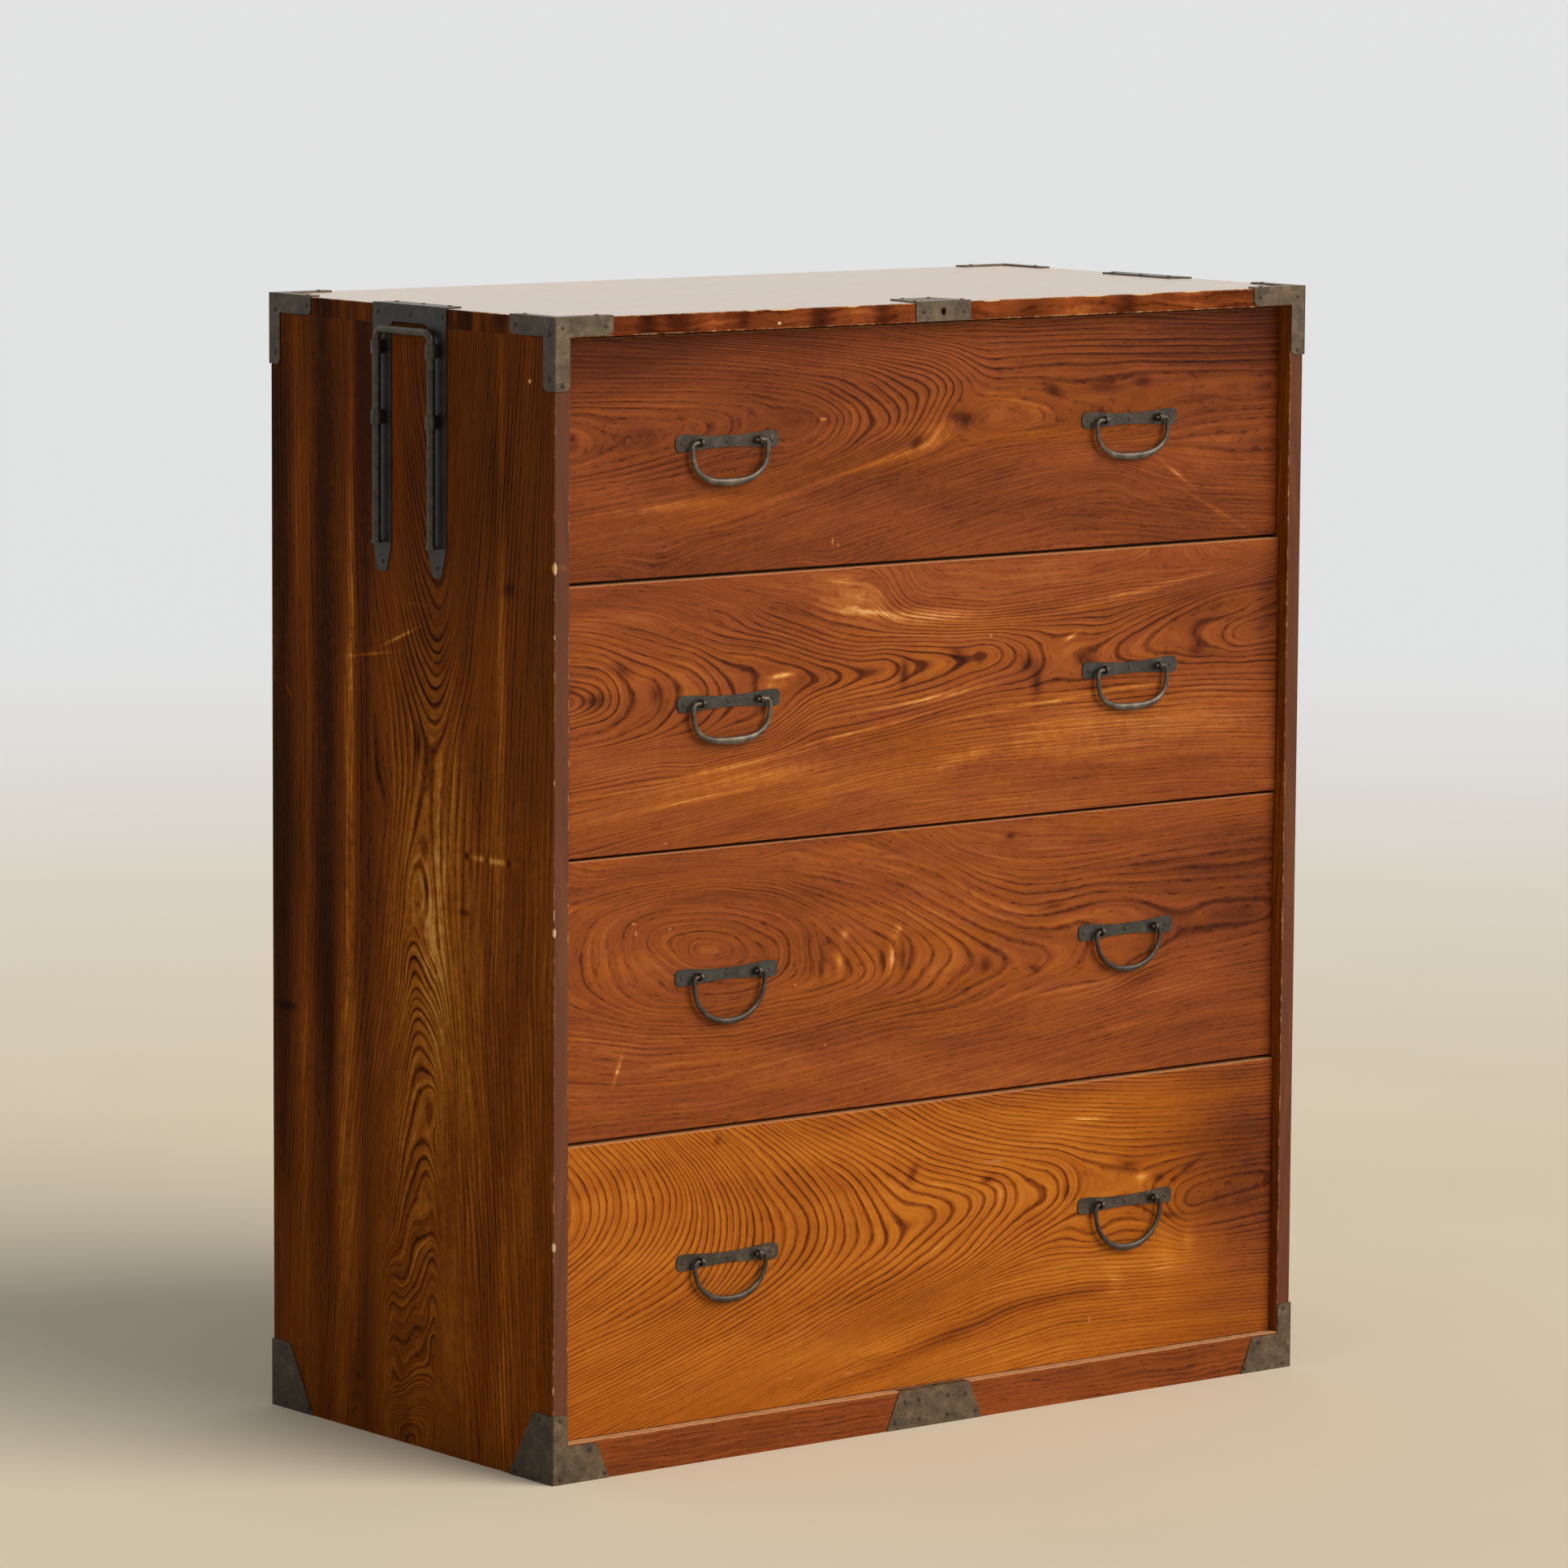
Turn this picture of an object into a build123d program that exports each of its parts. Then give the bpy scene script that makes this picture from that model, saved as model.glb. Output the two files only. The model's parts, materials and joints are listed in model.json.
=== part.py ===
from build123d import *
import os

# Clothing chest with four full-width drawers, wrought-iron fittings and a sliding
# carrying handle on each side.  Origin: centre of the footprint on the floor,
# +X to the right, -Y towards the front, +Z up.  All sizes in millimetres.

# ---------------------------------------------------------------- driving sizes
# Case
CASE_WIDTH = 907.0
CASE_DEPTH = 452.2
TOP_THICK = 18.0
SIDE_THICK = 16.5
BACK_THICK = 9.0
BACK_REBATE = 6.0  # how far the back panel laps over each side panel
BED_HEIGHT = 37.0  # floor to the surface that the lowest drawer runs on
BED_THICK = 16.0
RAIL_THICK = 24.0
SHELF_THICK = 9.0
SHELF_SETBACK = 38.5  # case front to the front edge of each dust shelf
HOUSING = 5.0  # how far shelves, bed and rail are let into the side panels
CASE_EDGE = 1.2  # rounding of the case's outer edges

# Wooden pegs that hold the top board and the back panel
PEG_SIZE = 4.0
PEG_LENGTH = 34.0
TOP_PEGS = 4  # on each side; the back panel has one at the middle of each drawer
TOP_PEG_MARGIN = 100.0

# Drawers, from the top one down
DRAWER_NAMES = ["top_drawer", "second_drawer", "third_drawer", "bottom_drawer"]
FRONT_HEIGHTS = [222.0, 249.0, 260.0, 273.0]
FRONT_RECESSES = [16.3, 12.3, 13.8, 10.3]  # case front to drawer front
HANDLE_RISES = [10.7, 9.0, 11.9, 14.4]  # handle plate above the middle of its front
TOP_GAP = 2.3
SEAM_GAP = 3.0
BED_GAP = 0.5
SIDE_GAP = 0.6
RUN_GAP = 0.3  # under and behind each drawer box
HEADROOM = 3.0
FRONT_THICK = 20.0
BOX_SIDE_THICK = 11.0
BOX_BACK_THICK = 11.0
BOX_BOTTOM_THICK = 7.0
SIDE_LAP = 10.0  # rebate in the back of the front that takes the box sides
BOTTOM_LAP = 8.0
FRONT_EDGE = 1.0

# Iron sheet and nails
IRON_THICK = 1.2
IRON_MARGIN = 0.3  # sheet edge to the edge of the wood it is nailed to
NAIL_SHANK = 1.8
NAIL_LENGTH = 9.5
NAIL_HEAD_R = 2.1
NAIL_HEAD_H = 0.9
NAIL_HEAD_ROUND = 0.75
ARM_NAIL_INSET = 8.0  # from the free end of a bracket's arm
LEG_NAIL_INSET = 5.0
CORNER_NAIL_SHIFT = 6.0  # keeps nails driven from two faces clear of each other
FOOT_NAIL_UP = 5.0
FOOT_NAIL_DOWN = 6.0

# Corner brackets
TOP_ARM = 65.0
TOP_SIDE_ARM = 68.0
TOP_LEG = 66.0
TOP_FLANGE = 12.0
TOP_BAND = 17.0
BRACKET_ROUND = 6.0
FOOT_ARM = 64.0
FOOT_ARM_TOP = 49.0
FOOT_ARM_HEIGHT = 35.0
FOOT_LEG = 65.0
FOOT_SIDE_ARM = 67.0
FOOT_SIDE_TOP = 29.0
FOOT_SIDE_NAIL = 21.0

# Lock in the top board and keeper on the bottom rail
LOCK_X = -1.5
LOCK_PLATE_WIDTH = 66.0
LOCK_FLANGE_DEPTH = 48.0
LOCK_FLANGE_BACK = 50.0
KEYHOLE_WIDTH = 5.6
KEYHOLE_HEIGHT = 7.2
KEYHOLE_UP = 9.3
LOCK_INSET = 3.0
LOCK_CASE_WIDTH = 40.0
LOCK_CASE_DEPTH = 21.0
LOCK_CASE_HEIGHT = 14.0
LOCK_WALL = 1.5
TONGUE_SLOT_LONG = 12.0
TONGUE_SLOT_WIDE = 6.0
BOLT_LENGTH = 17.0
BOLT_HEIGHT = 3.6
BOLT_GAP = 0.3
KEEPER_WIDTH_TOP = 86.0
KEEPER_WIDTH_FOOT = 117.0
KEEPER_FLANGE = 9.3
KEEPER_SLOT_LONG = 12.0
KEEPER_SLOT_WIDE = 5.0
KEEPER_SLOT_SETBACK = 2.4
KEEPER_SLOT_DEEP = 15.0
# nails, as (distance right of LOCK_X, distance from the edge next to the drawers or case front)
LOCK_FRONT_NAILS = [(-24.0, 9.7), (25.0, 8.9)]
LOCK_TOP_NAILS = [(-28.5, 7.0), (28.5, 7.0), (-16.0, 41.0), (16.0, 41.0)]
KEEPER_NAILS = [
    (-36.0, 11.0),
    (-19.0, 10.0),
    (17.0, 10.5),
    (38.0, 11.5),
    (-48.0, 30.0),
    (-18.0, 29.3),
    (16.0, 28.6),
    (51.0, 30.0),
]

# Drawer handles
HANDLE_X = 244.6
PLATE_LENGTH = 120.0
PLATE_END_HEIGHT = 15.6
PLATE_WAIST = 10.5
PLATE_WAIST_SPAN = 88.0
PLATE_ROUND = 5.5
PLATE_NAIL_X = 51.8
EYE_X = 34.0
EYE_STANDOFF = 5.6  # drawer front to the pivot line
EYE_RADIUS = 4.0
EYE_WIDTH = 3.0
EYE_STEM = 3.0
EYE_CLINCH_LONG = 9.0
EYE_CLINCH_THICK = 1.2
BAIL_RADIUS = 2.2
PIVOT_CLEARANCE = 0.08
BAIL_TIP_PAST_EYE = 3.0
BAIL_SHOULDER_R = 4.4
BAIL_LOWER_R = 21.0
BAIL_LOWER_SHARE = 0.55  # part of the drop where the legs start to close in
BAIL_FLAT_SHARE = 0.55  # part of the width that is level at the bottom
# outside width and drop below the pivot line, left and right on each drawer
BAIL_SIZES = [
    [(92.0, 36.0), (94.0, 34.5)],
    [(94.0, 35.0), (91.5, 36.0)],
    [(87.5, 43.0), (85.0, 37.5)],
    [(88.0, 37.5), (87.0, 43.5)],
]

# Carrying handles
POLE_Y = -1.5
POLE_PLATE_WIDTH = 116.6
POLE_LEG_WIDTH = 29.4
POLE_PLATE_DROP = 249.0
POLE_BRIDGE = 15.5
POLE_CUT_ROUND = 5.0
POLE_TIP_WIDTH = 14.0
POLE_TIP_LENGTH = 27.0
POLE_FLANGE = 22.0
POLE_FLANGE_TAPER = 8.0
POLE_NAIL_INSET = 7.0
POLE_TIP_NAIL_UP = 9.0
POLE_LEG_NAIL_UP = 87.0
POLE_TOP_NAILS = [-42.0, 0.0, 42.0]
BAR_RADIUS = 3.9
BAR_SPACING = 86.6
BAR_STANDOFF = 7.4  # side panel to the bar's centre line
BAR_BEND_R = 9.5
BAR_TOP_DROP = 23.0  # top of the wood to the bar's cross piece
BAR_FOOT_DROP = 222.0
BAR_FOOT_R = 5.6
BAR_FOOT_H = 4.0
GUIDE_CLEARANCE = 0.25
GUIDE_WALL = 1.4
GUIDE_HEIGHT = 13.0
GUIDE_SEAT_GAP = 0.5  # bend of the bar to the upper guide
LOWER_GUIDE_DROP = 98.3
GUIDE_STEM = 4.6
GUIDE_SPIKE = 3.2
GUIDE_SPIKE_LONG = 12.0

# ---------------------------------------------------------------- worked-out sizes
HALF_W = CASE_WIDTH / 2
HALF_D = CASE_DEPTH / 2
INNER_HALF_W = HALF_W - SIDE_THICK
LET_IN_HALF_W = INNER_HALF_W + HOUSING
BACK_INNER_Y = HALF_D - BACK_THICK
BACK_HALF_W = INNER_HALF_W + BACK_REBATE

front_tops = []
front_bottoms = []
level = BED_HEIGHT + BED_GAP
for height in reversed(FRONT_HEIGHTS):
    front_bottoms.insert(0, level)
    front_tops.insert(0, level + height)
    level = level + height + SEAM_GAP
SIDE_TOP = front_tops[0] + TOP_GAP
CASE_HEIGHT = SIDE_TOP + TOP_THICK

shelf_middles = [(low + high) / 2 for low, high in zip(front_bottoms[:-1], front_tops[1:])]
ceilings = [SIDE_TOP] + [middle - SHELF_THICK / 2 for middle in shelf_middles]
run_levels = [middle + SHELF_THICK / 2 for middle in shelf_middles] + [BED_HEIGHT]

FACE_X = HALF_W + IRON_THICK  # outer faces of the iron
FACE_Y = HALF_D + IRON_THICK
FACE_Z = CASE_HEIGHT + IRON_THICK
LEG_WIDTH = SIDE_THICK - IRON_MARGIN
BAND_Z = CASE_HEIGHT - TOP_BAND
KEYHOLE_Z = SIDE_TOP + KEYHOLE_UP
LOCK_Y = -HALF_D + LOCK_INSET
LOCK_LEFT_X = LOCK_X - LOCK_CASE_WIDTH / 2
LOCK_RIGHT_X = LOCK_X + LOCK_CASE_WIDTH / 2

EYE_HOLE_R = BAIL_RADIUS + PIVOT_CLEARANCE

POLE_HALF = POLE_PLATE_WIDTH / 2
POLE_CUT_HALF = POLE_HALF - POLE_LEG_WIDTH
POLE_TIP_Y = POLE_HALF - POLE_LEG_WIDTH / 2
POLE_TIP_Z = CASE_HEIGHT - POLE_PLATE_DROP
POLE_SHOULDER_Z = POLE_TIP_Z + POLE_TIP_LENGTH
POLE_CUT_Z = CASE_HEIGHT - POLE_BRIDGE
BAR_X = -HALF_W - BAR_STANDOFF
BAR_TOP_Z = CASE_HEIGHT - BAR_TOP_DROP
BAR_FOOT_Z = CASE_HEIGHT - BAR_FOOT_DROP
FRONT_BAR_Y = POLE_Y - BAR_SPACING / 2
BACK_BAR_Y = POLE_Y + BAR_SPACING / 2
UPPER_GUIDE_TOP = BAR_TOP_Z - BAR_BEND_R - GUIDE_SEAT_GAP
LOWER_GUIDE_TOP = CASE_HEIGHT - LOWER_GUIDE_DROP
GUIDE_HOLE_R = BAR_RADIUS + GUIDE_CLEARANCE

front_plane = Plane(origin=(0, -HALF_D, 0), x_dir=(1, 0, 0), z_dir=(0, -1, 0))
left_plane = Plane(origin=(-HALF_W, 0, 0), x_dir=(0, 1, 0), z_dir=(1, 0, 0))
top_plane = Plane.XY.offset(CASE_HEIGHT)
back_plane = Plane(origin=(0, HALF_D, 0), x_dir=(-1, 0, 0), z_dir=(0, 1, 0))

finished = []


# ---------------------------------------------------------------- helpers
def keep(piece, label):
    """Label a finished piece and put it on the list of pieces to write."""
    piece.part.label = label
    finished.append(piece.part)


def board(x0, x1, y0, y1, z0, z1, mode=Mode.ADD):
    """Add a plain board between two corners to the piece being built, or cut it away."""
    with Locations(((x0 + x1) / 2, (y0 + y1) / 2, (z0 + z1) / 2)):
        Box(x1 - x0, y1 - y0, z1 - z0, mode=mode)


def sheet(plane, points, amount, rounded=(), radius=BRACKET_ROUND):
    """Add a piece of iron sheet to the piece being built.

    The points are its outline on the plane, rounded lists the corners to round off."""
    with BuildSketch(plane) as shape:
        with BuildLine():
            Polyline(*points, close=True)
        make_face()
        if rounded:
            soft = [Vector(*points[i]) for i in rounded]
            corners = shape.vertices().filter_by(
                lambda v: min((Vector(v) - corner).length for corner in soft) < IRON_MARGIN
            )
            fillet(corners, radius)
    extrude(shape.sketch, amount=amount)


def mirrored(part, plane):
    """A mirror image of a finished piece."""
    with BuildPart() as image:
        mirror(part, about=plane)
    return image


def nail_planes(points, normal):
    """A plane for each nail, with the head outwards along the normal."""
    return [Plane(origin=point, z_dir=normal) for point in points]


# ---------------------------------------------------------------- nails of the case fittings
with BuildPart() as nail:
    with BuildSketch():
        Rectangle(NAIL_SHANK, NAIL_SHANK)
    extrude(amount=-NAIL_LENGTH)
    with BuildSketch():
        Circle(NAIL_HEAD_R)
    extrude(amount=NAIL_HEAD_H)
    fillet(nail.edges().sort_by(Axis.Z)[-1], NAIL_HEAD_ROUND)

# corner brackets: the same places at all four corners
leg_middle = LEG_WIDTH / 2
arm_z = CASE_HEIGHT - TOP_BAND / 2
leg_z = CASE_HEIGHT - TOP_LEG + LEG_NAIL_INSET
corner_x_z = [
    (HALF_W - leg_middle, arm_z),
    (HALF_W - TOP_ARM + ARM_NAIL_INSET, arm_z),
    (HALF_W - leg_middle, leg_z),
    (HALF_W - leg_middle, FOOT_LEG - LEG_NAIL_INSET),
    (HALF_W - leg_middle, FOOT_NAIL_UP),
    (HALF_W - FOOT_ARM_TOP + ARM_NAIL_INSET, FOOT_ARM_HEIGHT - FOOT_NAIL_DOWN),
    (HALF_W - FOOT_ARM + LEG_NAIL_INSET, FOOT_NAIL_UP),
]
corner_y_z = [
    (HALF_D - leg_middle, arm_z - CORNER_NAIL_SHIFT),
    (HALF_D - TOP_SIDE_ARM + ARM_NAIL_INSET, arm_z),
    (HALF_D - leg_middle, leg_z + CORNER_NAIL_SHIFT),
    (HALF_D - FOOT_SIDE_TOP + ARM_NAIL_INSET, FOOT_LEG - FOOT_NAIL_DOWN),
    (HALF_D - FOOT_SIDE_NAIL, FOOT_NAIL_UP),
    (HALF_D - FOOT_SIDE_ARM + ARM_NAIL_INSET, FOOT_NAIL_UP),
]
corner_x_y = [
    (HALF_W - TOP_ARM + ARM_NAIL_INSET + CORNER_NAIL_SHIFT, HALF_D - TOP_FLANGE / 2),
    (HALF_W - TOP_FLANGE / 2, HALF_D - TOP_SIDE_ARM + ARM_NAIL_INSET + CORNER_NAIL_SHIFT),
]
# carrying-handle plates: y measured from the middle of the plate
pole_y_z = [
    (-POLE_HALF + POLE_NAIL_INSET, CASE_HEIGHT - POLE_BRIDGE / 2),
    (0, CASE_HEIGHT - POLE_BRIDGE / 2),
    (POLE_HALF - POLE_NAIL_INSET, CASE_HEIGHT - POLE_BRIDGE / 2),
    (-POLE_TIP_Y, POLE_TIP_Z + POLE_TIP_NAIL_UP),
    (POLE_TIP_Y, POLE_TIP_Z + POLE_TIP_NAIL_UP),
    (-POLE_HALF + LEG_NAIL_INSET, POLE_TIP_Z + POLE_LEG_NAIL_UP),
    (POLE_CUT_HALF + LEG_NAIL_INSET, POLE_TIP_Z + POLE_LEG_NAIL_UP),
]

front_points = [(LOCK_X + x, -FACE_Y, SIDE_TOP + up) for x, up in LOCK_FRONT_NAILS]
front_points += [(LOCK_X + x, -FACE_Y, BED_HEIGHT - down) for x, down in KEEPER_NAILS]
top_points = [(LOCK_X + x, -HALF_D + y, FACE_Z) for x, y in LOCK_TOP_NAILS]
all_nails = nail_planes(front_points, (0, -1, 0))
for right in (-1, 1):
    flange_x = right * (HALF_W - POLE_FLANGE + POLE_NAIL_INSET)
    top_points += [(flange_x, POLE_Y + y, FACE_Z) for y in POLE_TOP_NAILS]
    side_points = [(right * FACE_X, POLE_Y + y, z) for y, z in pole_y_z]
    for back in (-1, 1):
        corner_points = [(right * x, back * FACE_Y, z) for x, z in corner_x_z]
        all_nails += nail_planes(corner_points, (0, back, 0))
        side_points += [(right * FACE_X, back * y, z) for y, z in corner_y_z]
        top_points += [(right * x, back * y, FACE_Z) for x, y in corner_x_y]
    all_nails += nail_planes(side_points, (right, 0, 0))
all_nails += nail_planes(top_points, (0, 0, 1))

with BuildPart() as carcass_nails:
    with Locations(*all_nails):
        add(nail.part)
keep(carcass_nails, "carcass_nails")

# ---------------------------------------------------------------- wooden pegs
peg_span = CASE_DEPTH - 2 * TOP_PEG_MARGIN
peg_ys = [-peg_span / 2 + i * peg_span / (TOP_PEGS - 1) for i in range(TOP_PEGS)]
peg_zs = [(low + high) / 2 for low, high in zip(front_bottoms, front_tops)]
top_peg_x = HALF_W - SIDE_THICK / 2
back_peg_x = INNER_HALF_W + BACK_REBATE / 2

with BuildPart() as joint_pegs:
    with BuildSketch(top_plane):
        with Locations(*[(right * top_peg_x, y) for right in (-1, 1) for y in peg_ys]):
            Rectangle(PEG_SIZE, PEG_SIZE)
    with BuildSketch(back_plane):
        with Locations(*[(right * back_peg_x, z) for right in (-1, 1) for z in peg_zs]):
            Rectangle(PEG_SIZE, PEG_SIZE)
    extrude(amount=-PEG_LENGTH)
keep(joint_pegs, "joint_pegs")

# ---------------------------------------------------------------- corner brackets
with BuildPart() as front_left_top_bracket:
    sheet(
        front_plane,
        [
            (-FACE_X, FACE_Z),
            (-HALF_W + TOP_ARM, FACE_Z),
            (-HALF_W + TOP_ARM, BAND_Z),
            (-HALF_W + LEG_WIDTH, BAND_Z),
            (-HALF_W + LEG_WIDTH, CASE_HEIGHT - TOP_LEG),
            (-FACE_X, CASE_HEIGHT - TOP_LEG),
        ],
        IRON_THICK,
        rounded=[2, 4],
    )
    sheet(
        left_plane,
        [
            (-HALF_D, FACE_Z),
            (-HALF_D + TOP_SIDE_ARM, FACE_Z),
            (-HALF_D + TOP_SIDE_ARM, BAND_Z),
            (-HALF_D + LEG_WIDTH, BAND_Z),
            (-HALF_D + LEG_WIDTH, CASE_HEIGHT - TOP_LEG),
            (-HALF_D, CASE_HEIGHT - TOP_LEG),
        ],
        -IRON_THICK,
        rounded=[2, 4],
    )
    sheet(
        top_plane,
        [
            (-HALF_W, -HALF_D),
            (-HALF_W + TOP_ARM, -HALF_D),
            (-HALF_W + TOP_ARM, -HALF_D + TOP_FLANGE),
            (-HALF_W + TOP_FLANGE, -HALF_D + TOP_FLANGE),
            (-HALF_W + TOP_FLANGE, -HALF_D + TOP_SIDE_ARM),
            (-HALF_W, -HALF_D + TOP_SIDE_ARM),
        ],
        IRON_THICK,
        rounded=[2, 4],
    )
    add(carcass_nails.part, mode=Mode.SUBTRACT)

with BuildPart() as front_left_foot_bracket:
    sheet(
        front_plane,
        [
            (-FACE_X, 0),
            (-HALF_W + FOOT_ARM, 0),
            (-HALF_W + FOOT_ARM_TOP, FOOT_ARM_HEIGHT),
            (-HALF_W + LEG_WIDTH, FOOT_ARM_HEIGHT),
            (-HALF_W + LEG_WIDTH, FOOT_LEG),
            (-FACE_X, FOOT_LEG),
        ],
        IRON_THICK,
        rounded=[4],
    )
    sheet(
        left_plane,
        [
            (-HALF_D, 0),
            (-HALF_D + FOOT_SIDE_ARM, 0),
            (-HALF_D + FOOT_SIDE_TOP, FOOT_LEG),
            (-HALF_D, FOOT_LEG),
        ],
        -IRON_THICK,
    )
    add(carcass_nails.part, mode=Mode.SUBTRACT)

for label, front_left in (
    ("top_bracket", front_left_top_bracket),
    ("foot_bracket", front_left_foot_bracket),
):
    front_right = mirrored(front_left.part, Plane.YZ)
    keep(front_left, "front_left_" + label)
    keep(front_right, "front_right_" + label)
    keep(mirrored(front_left.part, Plane.XZ), "back_left_" + label)
    keep(mirrored(front_right.part, Plane.XZ), "back_right_" + label)

# ---------------------------------------------------------------- lock plate and keeper plate
with BuildPart() as keyhole:
    with BuildSketch(front_plane.offset(IRON_THICK)):
        with Locations((LOCK_X, KEYHOLE_Z)):
            Ellipse(KEYHOLE_WIDTH / 2, KEYHOLE_HEIGHT / 2)
    extrude(amount=-(IRON_THICK + LOCK_INSET + LOCK_WALL))

with BuildPart() as lock_plate:
    with BuildSketch(front_plane):
        with Locations((LOCK_X, SIDE_TOP + IRON_MARGIN)):
            Rectangle(
                LOCK_PLATE_WIDTH,
                FACE_Z - SIDE_TOP - IRON_MARGIN,
                align=(Align.CENTER, Align.MIN),
            )
    extrude(amount=IRON_THICK)
    sheet(
        top_plane,
        [
            (LOCK_X - LOCK_PLATE_WIDTH / 2, -HALF_D),
            (LOCK_X + LOCK_PLATE_WIDTH / 2, -HALF_D),
            (LOCK_X + LOCK_FLANGE_BACK / 2, -HALF_D + LOCK_FLANGE_DEPTH),
            (LOCK_X - LOCK_FLANGE_BACK / 2, -HALF_D + LOCK_FLANGE_DEPTH),
        ],
        IRON_THICK,
    )
    add(keyhole.part, mode=Mode.SUBTRACT)
    add(carcass_nails.part, mode=Mode.SUBTRACT)
keep(lock_plate, "lock_plate")

with BuildPart() as keeper_slot:
    board(
        LOCK_X - KEEPER_SLOT_LONG / 2,
        LOCK_X + KEEPER_SLOT_LONG / 2,
        -HALF_D + KEEPER_SLOT_SETBACK,
        -HALF_D + KEEPER_SLOT_SETBACK + KEEPER_SLOT_WIDE,
        BED_HEIGHT - KEEPER_SLOT_DEEP,
        BED_HEIGHT,
    )

with BuildPart() as keeper_plate:
    sheet(
        front_plane,
        [
            (LOCK_X - KEEPER_WIDTH_FOOT / 2, 0),
            (LOCK_X + KEEPER_WIDTH_FOOT / 2, 0),
            (LOCK_X + KEEPER_WIDTH_TOP / 2, BED_HEIGHT),
            (LOCK_X - KEEPER_WIDTH_TOP / 2, BED_HEIGHT),
        ],
        IRON_THICK,
    )
    board(
        LOCK_X - KEEPER_WIDTH_TOP / 2,
        LOCK_X + KEEPER_WIDTH_TOP / 2,
        -HALF_D,
        -HALF_D + KEEPER_FLANGE,
        BED_HEIGHT - IRON_THICK,
        BED_HEIGHT,
    )
    add(keeper_slot.part, mode=Mode.SUBTRACT)
    add(carcass_nails.part, mode=Mode.SUBTRACT)
keep(keeper_plate, "keeper_plate")

# ---------------------------------------------------------------- carrying handles
with BuildPart() as left_pole_handle:
    with BuildLine(Plane.YZ.offset(BAR_X)) as bar_path:
        FilletPolyline(
            (FRONT_BAR_Y, BAR_FOOT_Z),
            (FRONT_BAR_Y, BAR_TOP_Z),
            (BACK_BAR_Y, BAR_TOP_Z),
            (BACK_BAR_Y, BAR_FOOT_Z),
            radius=BAR_BEND_R,
        )
    with BuildSketch(Plane.XY.offset(BAR_FOOT_Z)):
        with Locations((BAR_X, FRONT_BAR_Y)):
            Circle(BAR_RADIUS)
    sweep(path=bar_path.wires()[0])
    for bar_y in (FRONT_BAR_Y, BACK_BAR_Y):
        with BuildSketch(Plane.XY.offset(BAR_FOOT_Z)):
            with Locations((BAR_X, bar_y)):
                Circle(BAR_FOOT_R)
        with BuildSketch(Plane.XY.offset(BAR_FOOT_Z + BAR_FOOT_H)):
            with Locations((BAR_X, bar_y)):
                Circle(BAR_RADIUS)
        loft()
keep(left_pole_handle, "left_pole_handle")
keep(mirrored(left_pole_handle.part, Plane.YZ), "right_pole_handle")

with BuildPart() as left_guides:
    for bar_y in (FRONT_BAR_Y, BACK_BAR_Y):
        for guide_top in (UPPER_GUIDE_TOP, LOWER_GUIDE_TOP):
            with BuildSketch(Plane.XY.offset(guide_top)):
                with Locations((BAR_X, bar_y)):
                    Circle(GUIDE_HOLE_R + GUIDE_WALL)
                    Rectangle(
                        BAR_STANDOFF - IRON_THICK, GUIDE_STEM, align=(Align.MIN, Align.CENTER)
                    )
                    Circle(GUIDE_HOLE_R, mode=Mode.SUBTRACT)
            extrude(amount=-GUIDE_HEIGHT)
            with BuildSketch(left_plane.offset(-IRON_THICK)):
                with Locations((bar_y, guide_top - GUIDE_HEIGHT / 2)):
                    Rectangle(GUIDE_SPIKE, GUIDE_SPIKE)
            extrude(amount=IRON_THICK + GUIDE_SPIKE_LONG)

with BuildPart() as pole_guides:
    add(left_guides.part)
    mirror(left_guides.part, about=Plane.YZ)
keep(pole_guides, "pole_guides")

with BuildPart() as left_pole_plate:
    sheet(
        left_plane,
        [
            (POLE_Y - POLE_HALF, FACE_Z),
            (POLE_Y + POLE_HALF, FACE_Z),
            (POLE_Y + POLE_HALF, POLE_SHOULDER_Z),
            (POLE_Y + POLE_TIP_Y + POLE_TIP_WIDTH / 2, POLE_TIP_Z),
            (POLE_Y + POLE_TIP_Y - POLE_TIP_WIDTH / 2, POLE_TIP_Z),
            (POLE_Y + POLE_CUT_HALF, POLE_SHOULDER_Z),
            (POLE_Y + POLE_CUT_HALF, POLE_CUT_Z),
            (POLE_Y - POLE_CUT_HALF, POLE_CUT_Z),
            (POLE_Y - POLE_CUT_HALF, POLE_SHOULDER_Z),
            (POLE_Y - POLE_TIP_Y + POLE_TIP_WIDTH / 2, POLE_TIP_Z),
            (POLE_Y - POLE_TIP_Y - POLE_TIP_WIDTH / 2, POLE_TIP_Z),
            (POLE_Y - POLE_HALF, POLE_SHOULDER_Z),
        ],
        -IRON_THICK,
        rounded=[3, 4, 6, 7, 9, 10],
        radius=POLE_CUT_ROUND,
    )
    sheet(
        top_plane,
        [
            (-HALF_W, POLE_Y - POLE_HALF),
            (-HALF_W, POLE_Y + POLE_HALF),
            (-HALF_W + POLE_FLANGE, POLE_Y + POLE_HALF - POLE_FLANGE_TAPER),
            (-HALF_W + POLE_FLANGE, POLE_Y - POLE_HALF + POLE_FLANGE_TAPER),
        ],
        IRON_THICK,
    )
    add(pole_guides.part, mode=Mode.SUBTRACT)
    add(carcass_nails.part, mode=Mode.SUBTRACT)
keep(left_pole_plate, "left_pole_plate")
keep(mirrored(left_pole_plate.part, Plane.YZ), "right_pole_plate")

# ---------------------------------------------------------------- case boards
with BuildPart() as bottom_rail:
    board(-LET_IN_HALF_W, LET_IN_HALF_W, -HALF_D, -HALF_D + RAIL_THICK, 0, BED_HEIGHT)
    for fitting in (keeper_plate, keeper_slot, carcass_nails):
        add(fitting.part, mode=Mode.SUBTRACT)
keep(bottom_rail, "bottom_rail")

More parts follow.
